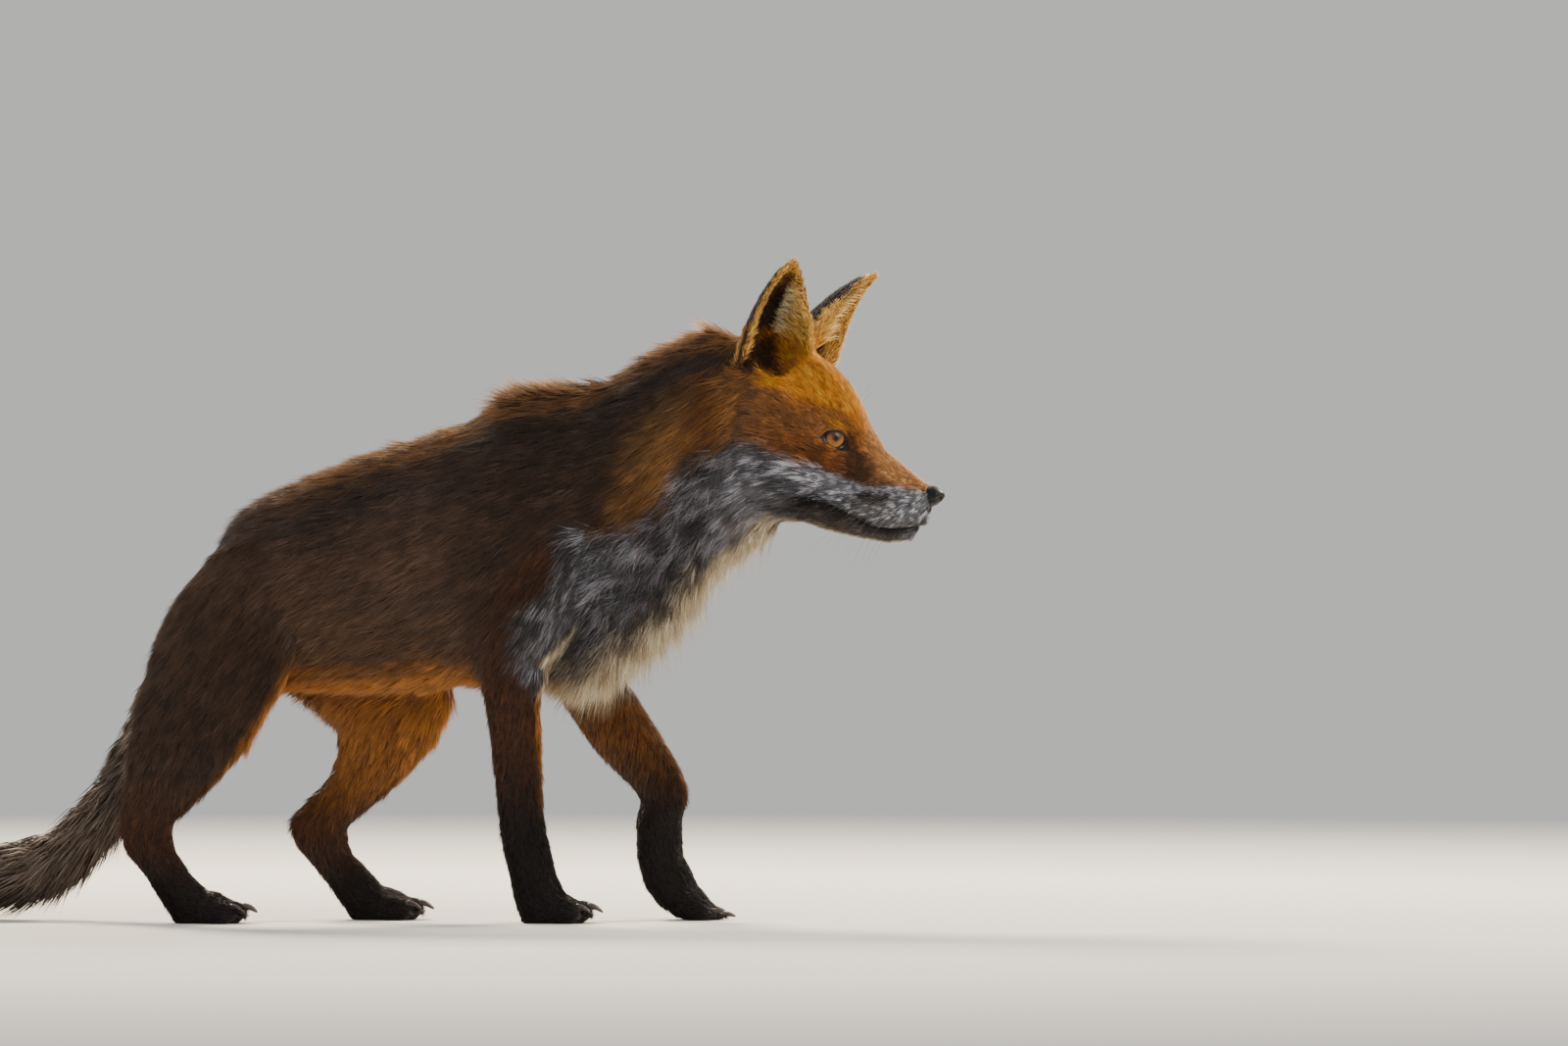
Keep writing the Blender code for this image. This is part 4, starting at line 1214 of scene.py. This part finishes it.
def grow_coat(skin):
    """Makes the pieces of coat, each with its own random numbers."""
    made = []
    home = skin["node"][skin["triangles"][:, 0]]
    corner = skin["triangles"][:, 0]
    on_head = skin["group"][corner, 0] > 0.5
    left = np.where(on_head, in_head(skin["place"][corner])[:, 1] > 0, skin["place"][corner, 1] > 0)
    for number, (name, (nodes, short, slot)) in enumerate(PIECES.items()):
        index = np.isin(home, [FILLED.index(n) for n in nodes])
        halves = {name: index}
        if name in HALVED:
            halves = {f"{name}_left": index & left, f"{name}_right": index & ~left}
        for turn, (title, chosen) in enumerate(halves.items()):
            rng = np.random.default_rng(100 + 10 * number + turn)
            piece = tufts(title, skin, np.flatnonzero(chosen), rng, short)
            piece.data.materials.append(MATERIALS["fur"])
            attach(piece, "root")
            made.append(piece)
            print(title, len(piece.data.polygons))
    print("coat", sum(len(p.data.polygons) for p in made))


# ---------------------------------------------------------------- materials

MATERIALS = {}


def add_node(tree, kind, settings=None, links=None):
    """Adds a node with its settings and what feeds it. Keys name properties or sockets."""
    node = tree.nodes.new(kind)
    for key, value in (settings or {}).items():
        if isinstance(key, int) or key in node.inputs:
            node.inputs[key].default_value = value
        else:
            setattr(node, key, value)
    for key, source in (links or {}).items():
        tree.links.new(source, node.inputs[key])
    return node


def new_material(name):
    """An empty material, with its node tree and its shader."""
    material = bpy.data.materials.new(name)
    material.use_nodes = True
    tree = material.node_tree
    tree.nodes.clear()
    shader = add_node(tree, "ShaderNodeBsdfPrincipled")
    add_node(tree, "ShaderNodeOutputMaterial", links={"Surface": shader.outputs[0]})
    return material, tree, shader


def hex4(code):
    return (*linear(code), 1)


def fur_material():
    """Fox hair: dull keratin with a soft sheen, in the colours of the markings."""
    material, tree, shader = new_material("fox_hair")
    tone = add_node(tree, "ShaderNodeAttribute", {"attribute_name": "coat"})
    place = add_node(tree, "ShaderNodeTexCoord")
    # fine streaks about 0.4 mm wide, as single hairs show in a lock
    streaks = add_node(
        tree, "ShaderNodeTexNoise", {"Scale": 900.0, "Detail": 2.0}, {"Vector": place.outputs["Object"]}
    )
    value = add_node(
        tree, "ShaderNodeMapRange", {"To Min": 0.82, "To Max": 1.18}, {"Value": streaks.outputs["Fac"]}
    )
    colour = add_node(tree, "ShaderNodeMix", {"data_type": "RGBA", "blend_type": "MULTIPLY", 0: 1.0})
    tree.links.new(tone.outputs["Color"], colour.inputs[6])
    tree.links.new(value.outputs["Result"], colour.inputs[7])
    tree.links.new(colour.outputs[2], shader.inputs["Base Color"])
    shader.inputs["Roughness"].default_value = 0.60
    shader.inputs["Specular IOR Level"].default_value = 0.22
    shader.inputs["Sheen Weight"].default_value = 0.05
    shader.inputs["Sheen Roughness"].default_value = 0.4
    return material


def skin_material():
    """Skin under the coat: the coat's own colours, duller, with the grain of short hair."""
    material, tree, shader = new_material("fox_skin")
    tone = add_node(tree, "ShaderNodeAttribute", {"attribute_name": "coat"})
    wet = add_node(tree, "ShaderNodeAttribute", {"attribute_name": "bare"})
    place = add_node(tree, "ShaderNodeTexCoord")
    grain = add_node(
        tree, "ShaderNodeTexNoise", {"Scale": 700.0, "Detail": 3.0}, {"Vector": place.outputs["Object"]}
    )
    pores = add_node(tree, "ShaderNodeTexVoronoi", {"Scale": 1400.0}, {"Vector": place.outputs["Object"]})
    height = add_node(tree, "ShaderNodeMath", {"operation": "ADD"})
    tree.links.new(grain.outputs["Fac"], height.inputs[0])
    tree.links.new(pores.outputs["Distance"], height.inputs[1])
    relief = add_node(
        tree, "ShaderNodeMapRange", {"To Min": 0.5, "To Max": 0.06}, {"Value": wet.outputs["Fac"]}
    )
    bump = add_node(
        tree, "ShaderNodeBump", {"Distance": 0.0004},
        {"Height": height.outputs[0], "Strength": relief.outputs["Result"]},
    )
    rough = add_node(
        tree, "ShaderNodeMapRange", {"To Min": 0.8, "To Max": 0.42}, {"Value": wet.outputs["Fac"]}
    )
    tree.links.new(tone.outputs["Color"], shader.inputs["Base Color"])
    tree.links.new(rough.outputs["Result"], shader.inputs["Roughness"])
    tree.links.new(bump.outputs["Normal"], shader.inputs["Normal"])
    shader.inputs["Specular IOR Level"].default_value = 0.25
    return material


def nose_material():
    """A fox's nose: black, moist leather, pebbled in cells of about 0.7 mm."""
    material, tree, shader = new_material("nose_leather")
    place = add_node(tree, "ShaderNodeTexCoord")
    cells = add_node(
        tree, "ShaderNodeTexVoronoi", {"Scale": 1300.0, "feature": "SMOOTH_F1"},
        {"Vector": place.outputs["Object"]},
    )
    tone = add_node(tree, "ShaderNodeValToRGB", links={"Fac": cells.outputs["Distance"]})
    tone.color_ramp.elements[0].color = hex4("0B0C10")
    tone.color_ramp.elements[1].color = hex4("040405")
    bump = add_node(
        tree, "ShaderNodeBump", {"Strength": 0.3, "Distance": 0.0003, "invert": True},
        {"Height": cells.outputs["Distance"]},
    )
    tree.links.new(tone.outputs["Color"], shader.inputs["Base Color"])
    tree.links.new(bump.outputs["Normal"], shader.inputs["Normal"])
    shader.inputs["Roughness"].default_value = 0.6
    shader.inputs["Specular IOR Level"].default_value = 0.15
    shader.inputs["Coat Weight"].default_value = 0.22
    shader.inputs["Coat Roughness"].default_value = 0.16
    return material


def eye_material():
    """A living eye: an amber iris with fine spokes, an upright pupil, and a wet, clear front."""
    material, tree, shader = new_material("wet_eye")
    uv = add_node(tree, "ShaderNodeUVMap", {"uv_map": "gaze"})
    centred = add_node(
        tree, "ShaderNodeVectorMath", {"operation": "SUBTRACT", 1: (0.5, 0.5, 0)}, {0: uv.outputs[0]}
    )
    radius = add_node(tree, "ShaderNodeVectorMath", {"operation": "LENGTH"}, {0: centred.outputs[0]})
    part = add_node(tree, "ShaderNodeSeparateXYZ", links={0: centred.outputs[0]})
    angle = add_node(
        tree, "ShaderNodeMath", {"operation": "ARCTAN2"}, {0: part.outputs[1], 1: part.outputs[0]}
    )
    ring = add_node(tree, "ShaderNodeCombineXYZ", links={0: angle.outputs[0], 1: radius.outputs["Value"]})
    spokes = add_node(
        tree, "ShaderNodeVectorMath", {"operation": "MULTIPLY", 1: (9.0, 7.0, 0)}, {0: ring.outputs[0]}
    )
    fibres = add_node(
        tree, "ShaderNodeTexNoise", {"Scale": 1.6, "Detail": 4.0}, {"Vector": spokes.outputs[0]}
    )
    iris = add_node(tree, "ShaderNodeValToRGB", links={"Fac": radius.outputs["Value"]})
    ramp = iris.color_ramp
    ramp.elements[0].position = 0.08
    ramp.elements[0].color = hex4("2A1503")
    ramp.elements[1].position = 0.46
    ramp.elements[1].color = hex4("040303")
    rings = (0.15, "6E3E07"), (0.25, "94590C"), (0.335, "7C4D10"), (0.372, "4A2D0A"), (0.392, "070404")
    for position, code in rings:
        ramp.elements.new(position).color = hex4(code)
    light = add_node(
        tree, "ShaderNodeMapRange", {"From Min": 0.3, "From Max": 0.7, "To Min": 0.55, "To Max": 1.35},
        {"Value": fibres.outputs["Fac"]},
    )
    streaked = add_node(tree, "ShaderNodeMix", {"data_type": "RGBA", "blend_type": "MULTIPLY", 0: 1.0})
    tree.links.new(iris.outputs["Color"], streaked.inputs[6])
    # the upper lid's shade on the iris
    shade = add_node(
        tree, "ShaderNodeMapRange", {"From Min": -0.06, "From Max": 0.24, "To Min": 1.0, "To Max": 0.12},
        {"Value": part.outputs[1]},
    )
    under_lid = add_node(
        tree, "ShaderNodeMath", {"operation": "MULTIPLY"},
        {0: light.outputs["Result"], 1: shade.outputs["Result"]},
    )
    tree.links.new(under_lid.outputs[0], streaked.inputs[7])
    slit = add_node(
        tree, "ShaderNodeVectorMath", {"operation": "MULTIPLY", 1: (3.0, 1.0, 0)}, {0: centred.outputs[0]}
    )
    width = add_node(tree, "ShaderNodeVectorMath", {"operation": "LENGTH"}, {0: slit.outputs[0]})
    pupil = add_node(
        tree, "ShaderNodeMapRange", {"From Min": 0.142, "From Max": 0.162, "To Min": 1.0, "To Max": 0.0},
        {"Value": width.outputs["Value"]},
    )
    colour = add_node(
        tree, "ShaderNodeMix", {"data_type": "RGBA", 7: hex4("030202")}, {0: pupil.outputs["Result"]}
    )
    tree.links.new(streaked.outputs[2], colour.inputs[6])
    tree.links.new(colour.outputs[2], shader.inputs["Base Color"])
    shader.inputs["Roughness"].default_value = 0.5
    shader.inputs["Specular IOR Level"].default_value = 0.1
    shader.inputs["Coat Weight"].default_value = 1.0
    shader.inputs["Coat Roughness"].default_value = 0.02
    shader.inputs["Coat IOR"].default_value = 1.376
    return material


def claw_material():
    """Horn: dark grey-brown, with a fine, mottled grain."""
    material, tree, shader = new_material("claw_horn")
    place = add_node(tree, "ShaderNodeTexCoord")
    grain = add_node(
        tree, "ShaderNodeTexNoise", {"Scale": 350.0, "Detail": 3.0}, {"Vector": place.outputs["Object"]}
    )
    tone = add_node(tree, "ShaderNodeValToRGB", links={"Fac": grain.outputs["Fac"]})
    tone.color_ramp.elements[0].color = hex4("1A1513")
    tone.color_ramp.elements[1].color = hex4("4C4036")
    tree.links.new(tone.outputs["Color"], shader.inputs["Base Color"])
    shader.inputs["Roughness"].default_value = 0.42
    return material


def whisker_material():
    """Whiskers: stiff pale keratin with a clean shine."""
    material, tree, shader = new_material("whisker_keratin")
    place = add_node(tree, "ShaderNodeTexCoord")
    grain = add_node(tree, "ShaderNodeTexNoise", {"Scale": 120.0}, {"Vector": place.outputs["Object"]})
    tone = add_node(tree, "ShaderNodeValToRGB", links={"Fac": grain.outputs["Fac"]})
    tone.color_ramp.elements[0].color = hex4("3C362F")
    tone.color_ramp.elements[1].color = hex4("948B7C")
    tree.links.new(tone.outputs["Color"], shader.inputs["Base Color"])
    shader.inputs["Roughness"].default_value = 0.4
    return material


def floor_material():
    """A plain matt studio floor that fades into the background."""
    material, tree, shader = new_material("studio_floor")
    place = add_node(tree, "ShaderNodeTexCoord")
    distance = add_node(tree, "ShaderNodeVectorMath", {"operation": "LENGTH"}, {0: place.outputs["Object"]})
    fade = add_node(
        tree, "ShaderNodeMapRange", {"From Min": 1.0, "From Max": 2.6, "To Min": 1.0, "To Max": 0.0},
        {"Value": distance.outputs["Value"]},
    )
    shader.inputs["Base Color"].default_value = hex4("D9D7D2")
    shader.inputs["Roughness"].default_value = 0.9
    tree.links.new(fade.outputs["Result"], shader.inputs["Alpha"])
    return material


# ---------------------------------------------------------------- eyes, nose, claws, whiskers

def ball(name, segments, rings):
    """A ball of radius 1 at the origin, to be shaped."""
    bpy.ops.object.select_all(action="DESELECT")
    bpy.ops.mesh.primitive_uv_sphere_add(
        segments=segments, ring_count=rings, radius=1.0, location=(0, 0, 0)
    )
    obj = bpy.context.object
    obj.name = name
    obj.data.name = name
    return obj


def shade_smooth(obj):
    obj.data.polygons.foreach_set("use_smooth", np.ones(len(obj.data.polygons), bool))


def eyeball(side):
    """The eye: a ball with a raised, clear front, its iris mapped across the way it looks."""
    eye = ball(f"eyeball_{side}", 64, 48)
    gaze = turned_out(side, GAZE_AHEAD, GAZE_UP)
    level = UP.cross(gaze).normalized()
    rise = gaze.cross(level)
    local = places_of(eye)
    turned = local @ np.array([level, rise, gaze])
    facing = local[:, 2]
    bulge = 1 + 0.028 * ease(facing, 0.78, 0.97)
    set_places(eye, np.array(EYES[side]) + turned * (bulge * EYE_RADIUS * MM)[:, None])
    layer = eye.data.uv_layers.new(name="gaze")
    index = np.empty(len(eye.data.loops), np.int64)
    eye.data.loops.foreach_get("vertex_index", index)
    flat = local[index, :2] * 0.5 + 0.5
    flat[local[index, 2] < 0] = (0.98, 0.5)
    layer.uv.foreach_set("vector", flat.astype(np.float32).ravel())
    shade_smooth(eye)
    eye.data.materials.append(MATERIALS["eye"])
    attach(eye, "root")
    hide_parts(f"eye_{side}")


def nose_pad():
    """The nose: a rounded pad that runs back under its tip, with nostrils, their slits and a groove."""
    nose = ball("nose_pad", 96, 64)
    form = places_of(nose)
    # the ball's poles are turned to the sides, away from the nostrils
    form = form[:, [0, 2, 1]] * np.array([1, 1, -1])
    radii = np.array(NOSE_PAD)
    ahead, _, up = form.T
    out = form * radii
    out[:, 0] -= 3.4 * ease(-up, -0.15, 0.95) * ease(ahead, -0.2, 0.6)
    out[:, 0] -= 1.0 * ease(up, 0.35, 1.0) * ease(ahead, 0.2, 0.8)
    out[:, 1] *= 1 - 0.16 * ease(-up, 0.1, 0.9)
    width = np.abs(out[:, 1])
    front = ease(ahead, 0.25, 0.5)
    hole = np.exp(-((width - 4.4) / 1.9) ** 2 - ((out[:, 2] + 1.2) / 1.7) ** 2) * front
    slit_line = -2.2 - 0.30 * (width - 5.5)
    slit = np.exp(-((out[:, 2] - slit_line) / 0.8) ** 2) * ease(width, 4.5, 6.5) * ease(width, 10.1, 8.6)
    slit = slit * ease(ahead, -0.2, 0.3)
    groove = np.exp(-(out[:, 1] / 0.55) ** 2) * ease(out[:, 2], 1.0, -1.5) * front
    wing = np.exp(-((width - 7.2) / 1.8) ** 2 - ((out[:, 2] - 0.8) / 2.2) ** 2) * front
    normals = unit(form / radii)
    out += normals * (-3.8 * hole - 1.6 * slit - 0.9 * groove + 0.6 * wing)[:, None]
    set_places(nose, np.array(NOSE_MIDDLE) + out @ HEAD_AXES * MM)
    bm = bmesh.new()
    bm.from_mesh(nose.data)
    bmesh.ops.recalc_face_normals(bm, faces=bm.faces)
    bm.to_mesh(nose.data)
    bm.free()
    shade_smooth(nose)
    nose.data.materials.append(MATERIALS["nose"])
    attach(nose, "root")
    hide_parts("nose")


def tapered_tube(bm, points, radii, sides):
    """Adds a closed tube through points to a mesh, with its own radius at each."""
    rings = []
    for k, point in enumerate(points):
        way = (points[min(k + 1, len(points) - 1)] - points[max(k - 1, 0)]).normalized()
        first = way.orthogonal().normalized()
        second = way.cross(first)
        turns = [2 * math.pi * i / sides for i in range(sides)]
        rings.append([
            bm.verts.new(point + (first * math.cos(a) + second * math.sin(a)) * radii[k]) for a in turns
        ])
    for low, high in zip(rings, rings[1:]):
        for i in range(sides):
            bm.faces.new((low[i], low[(i + 1) % sides], high[(i + 1) % sides], high[i]))
    bm.faces.new(rings[0][::-1])
    bm.faces.new(rings[-1])


def finish_tubes(name, bm, material):
    """Makes the tubes of a mesh one piece, with its material and slot."""
    bmesh.ops.recalc_face_normals(bm, faces=bm.faces)
    mesh = bpy.data.meshes.new(name)
    bm.to_mesh(mesh)
    bm.free()
    obj = add_mesh(name, mesh)
    shade_smooth(obj)
    obj.data.materials.append(MATERIALS[material])
    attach(obj, "root")


# A claw, mm: how much of it is bedded in the toe, its length, and its radius at root and tip.
CLAW_BEDDED, CLAW_LENGTH, CLAW_RADIUS, CLAW_TIP = 3.0, 11.5, 2.1, 0.25
CLAW_FLOOR = 0.0012               # how far its middle line stays off the floor, m
CLAW_STEPS = 8


def claws():
    """Blunt, dark claws, each a curved horn that tapers down from the toe."""
    down = Vector((0, 0, -1))
    for paw in PAW_DIP:
        bm = bmesh.new()
        for root, way in (place[1:] for place in claw_places() if place[0] == paw):
            points = []
            radii = []
            for k in range(CLAW_STEPS + 1):
                t = k / CLAW_STEPS
                arch = UP * 1.2 * math.sin(math.pi * t) + down * 0.6 * t * t
                point = root + way * (-CLAW_BEDDED + CLAW_LENGTH * t) * MM + arch * MM
                points.append(Vector((point.x, point.y, max(point.z, CLAW_FLOOR))))
                radii.append((CLAW_RADIUS * (1 - t) ** 0.6 + CLAW_TIP) * MM)
            tapered_tube(bm, points, radii, 10)
        finish_tubes(f"claws_{paw}", bm, "claw")


WHISKER_STEPS = 7


def whiskers(skin_tree):
    """Rows of whiskers on the lips, a few over the eyes and under the chin."""
    rng = np.random.default_rng(12)
    for side, sign in (("left", 1), ("right", -1)):
        bm = bmesh.new()
        starts = []
        for row in range(4):
            for k in range(5 - row % 2):
                ahead = 46 - 5.6 * k - 1.5 * row
                up = 305.5 - 3.6 * row - 0.4 * k
                sweep = Vector((-0.80 - 0.10 * k, sign * (0.55 - 0.05 * row), -0.30 - 0.22 * row))
                starts.append((ahead, 14.5, up, sweep, 20 + 5.5 * k + 4 * rng.random()))
        for ahead, aside, up in ((6, 17, 366), (1, 20, 368)):
            starts.append((ahead, aside, up, Vector((0.55, sign * 0.5, 0.65)), 24))
        for ahead, aside, up in ((30, 6, 275), (22, 9, 276), (-20, 30, 300)):
            starts.append((ahead, aside, up, Vector((-0.45, sign * 0.3, -0.8)), 22))
        for ahead, aside, up, sweep, length in starts:
            start = skin_tree.find_nearest(head_place(ahead, sign * aside, up))[0]
            local = (AHEAD * sweep.x + LEFT * sweep.y + UP * sweep.z).normalized()
            droop = Vector((0, 0, -0.16)) if up < 330 else Vector((0, 0, -0.05))
            shares = [k / WHISKER_STEPS for k in range(WHISKER_STEPS + 1)]
            points = [start + (local * t + droop * t * t) * length * MM for t in shares]
            radii = [(0.10 * (1 - t) + 0.035) * MM for t in shares]
            tapered_tube(bm, points, radii, 4)
        finish_tubes(f"whiskers_{side}", bm, "whisker")


# ---------------------------------------------------------------- stage, light and camera

VIEW_WIDTH = 1.12                 # what the frame takes in across, at the fox
VIEW_CENTRE = Vector((0.2783, 0.0, 0.2846))
VIEW_DISTANCE = 10.0
CAMERA_RISE = 0.09                # how far the camera stands above what it looks at, m
SENSOR = 36.0
FLOOR_RADIUS = 3.0

# Soft round lamps: place, what each faces, width in metres, watts and colour.
LAMPS = {
    "key": ((1.75, -1.5, 2.05), (0.1, 0, 0.25), 2.1, 48, (1.0, 0.97, 0.93)),
    "fill": ((-1.6, -2.3, 0.9), (0, 0, 0.2), 2.2, 15, (0.93, 0.96, 1.0)),
    "rim_front": ((1.7, 1.5, 1.6), (0.2, 0, 0.3), 0.8, 100, (1.0, 0.86, 0.68)),
    "rim_back": ((-0.9, 2.0, 2.1), (-0.1, 0, 0.25), 1.0, 190, (1.0, 0.84, 0.62)),
}


def camera():
    """A level look from the fox's right side, from far off."""
    data = bpy.data.cameras.new("camera")
    data.sensor_width = SENSOR
    data.lens = SENSOR * VIEW_DISTANCE / VIEW_WIDTH
    data.clip_end = 100
    obj = bpy.data.objects.new("camera", data)
    bpy.context.scene.collection.objects.link(obj)
    obj.location = VIEW_CENTRE + Vector((0, -VIEW_DISTANCE, CAMERA_RISE))
    obj.rotation_euler = (VIEW_CENTRE - obj.location).to_track_quat("-Z", "Y").to_euler()
    bpy.context.scene.camera = obj


def soft_box(name, place, aim, size, power, colour):
    data = bpy.data.lights.new(name, "AREA")
    data.shape = "DISK"
    data.size = size
    data.energy = power
    data.color = colour
    obj = bpy.data.objects.new(name, data)
    bpy.context.scene.collection.objects.link(obj)
    obj.location = place
    obj.rotation_euler = (Vector(aim) - Vector(place)).to_track_quat("-Z", "Y").to_euler()


def lights():
    """The lamps, in a pale studio."""
    for name, settings in LAMPS.items():
        soft_box(name, *settings)
    world = bpy.data.worlds.new("studio")
    world.use_nodes = True
    background = world.node_tree.nodes["Background"]
    background.inputs["Color"].default_value = hex4("E9E8E6")
    background.inputs["Strength"].default_value = 0.72
    bpy.context.scene.world = world


def floor():
    bpy.ops.object.select_all(action="DESELECT")
    bpy.ops.mesh.primitive_circle_add(
        vertices=96, radius=FLOOR_RADIUS, fill_type="NGON", location=(0, 0, 0)
    )
    obj = bpy.context.object
    obj.name = "floor"
    obj.data.materials.append(MATERIALS["floor"])


# ---------------------------------------------------------------- putting it together

def paint_skin(obj, skin):
    """Gives the skin the coat's markings, black where it is bare, and its material."""
    colour = coat_colour(skin["place"], skin["normal"], skin["group"]) * 0.62
    bare = skin["bare"][:, None]
    colour = colour + (COLOUR["bare"] - colour) * bare
    # a painted highlight along the wet edge of the lower lids
    for side in EYES:
        beyond, _, reach, height = from_lids(side, skin["place"])
        wet = stripe(beyond, 0.3, 0.4) * ease(height, -1.5, -3.5) * (reach < 16)
        colour = tint(colour, "painted_lid_glint", wet * 0.45)
    sole = skin["sole"][:, None]
    colour = colour + (COLOUR["pad"] - colour) * sole
    layer = obj.data.color_attributes.new("coat", "FLOAT_COLOR", "POINT")
    opaque = np.column_stack([colour, np.ones(len(colour))])
    layer.data.foreach_set("color", opaque.astype(np.float32).ravel())
    bare_layer = obj.data.attributes.new("bare", "FLOAT", "POINT")
    bare_layer.data.foreach_set("value", skin["bare"].astype(np.float32))
    shade_smooth(obj)
    obj.data.materials.append(MATERIALS["skin"])


def unwrap(obj):
    """Opens the skin's own shape out flat, as the map called OFBake."""
    only(obj)
    obj.data.uv_layers.new(name="OFBake")
    bpy.ops.object.mode_set(mode="EDIT")
    bpy.ops.mesh.select_all(action="SELECT")
    bpy.ops.uv.smart_project(angle_limit=math.radians(66), island_margin=0.002)
    bpy.ops.object.mode_set(mode="OBJECT")
    uv = np.empty(len(obj.data.loops) * 2, np.float32)
    obj.data.uv_layers["OFBake"].uv.foreach_get("vector", uv)
    return uv.reshape(-1, 2)


def ear_lining(skin):
    """Long pale hair that crosses the ear's cup from its front edge, and a fringe along both edges."""
    for name, ear in EARS.items():
        on_ear = skin["group"][:, GROUP_NAMES.index(name)]
        rise, front, out = in_ear(name, skin["place"])
        inside = ease(faces_cup(name, skin["place"], skin["normal"]), 0.0, 0.4) * on_ear
        skin["lift"] = skin["lift"] + 12 * inside
        lining = inside * ease(front, 4, 12) * ease(rise, 0.92, 0.7)
        across = -ear["across"] * 0.8 + ear["axis"] * 0.35 + ear["facing"] * 0.30
        skin["way"] = unit(skin["way"] * (1 - lining[:, None]) + across * lining[:, None])
        skin["length"] = skin["length"] + 8.0 * lining
        skin["lift"] = skin["lift"] + 20 * lining
        fringe = on_ear * ease(out, -6, -1) * ease(rise, 0.75, 0.45)
        ahead = ear["facing"] * 0.7 + ear["axis"] * 0.5
        skin["way"] = unit(skin["way"] * (1 - 0.7 * fringe[:, None]) + ahead * 0.7 * fringe[:, None])
        skin["length"] = skin["length"] + 4.0 * fringe


def main():
    """Builds the skin, everything set in it, its coat and the studio round it."""
    MATERIALS.update(
        fur=fur_material(), skin=skin_material(), nose=nose_material(), eye=eye_material(),
        claw=claw_material(), whisker=whisker_material(), floor=floor_material(),
    )
    obj, skin = build_skin()
    raise_coat(skin)
    skin["way"] = lie_of_coat(skin)
    ear_lining(skin)
    paint_skin(obj, skin)
    skin["uv"] = unwrap(obj)
    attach(obj, "root")
    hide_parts(*FLESH)
    print("skin", len(obj.data.polygons))
    skin_tree = BVHTree.FromPolygons([Vector(p) for p in skin["place"]], skin["triangles"].tolist())
    for side in EYES:
        eyeball(side)
    nose_pad()
    claws()
    whiskers(skin_tree)
    grow_coat(skin)
    camera()
    lights()
    floor()


main()
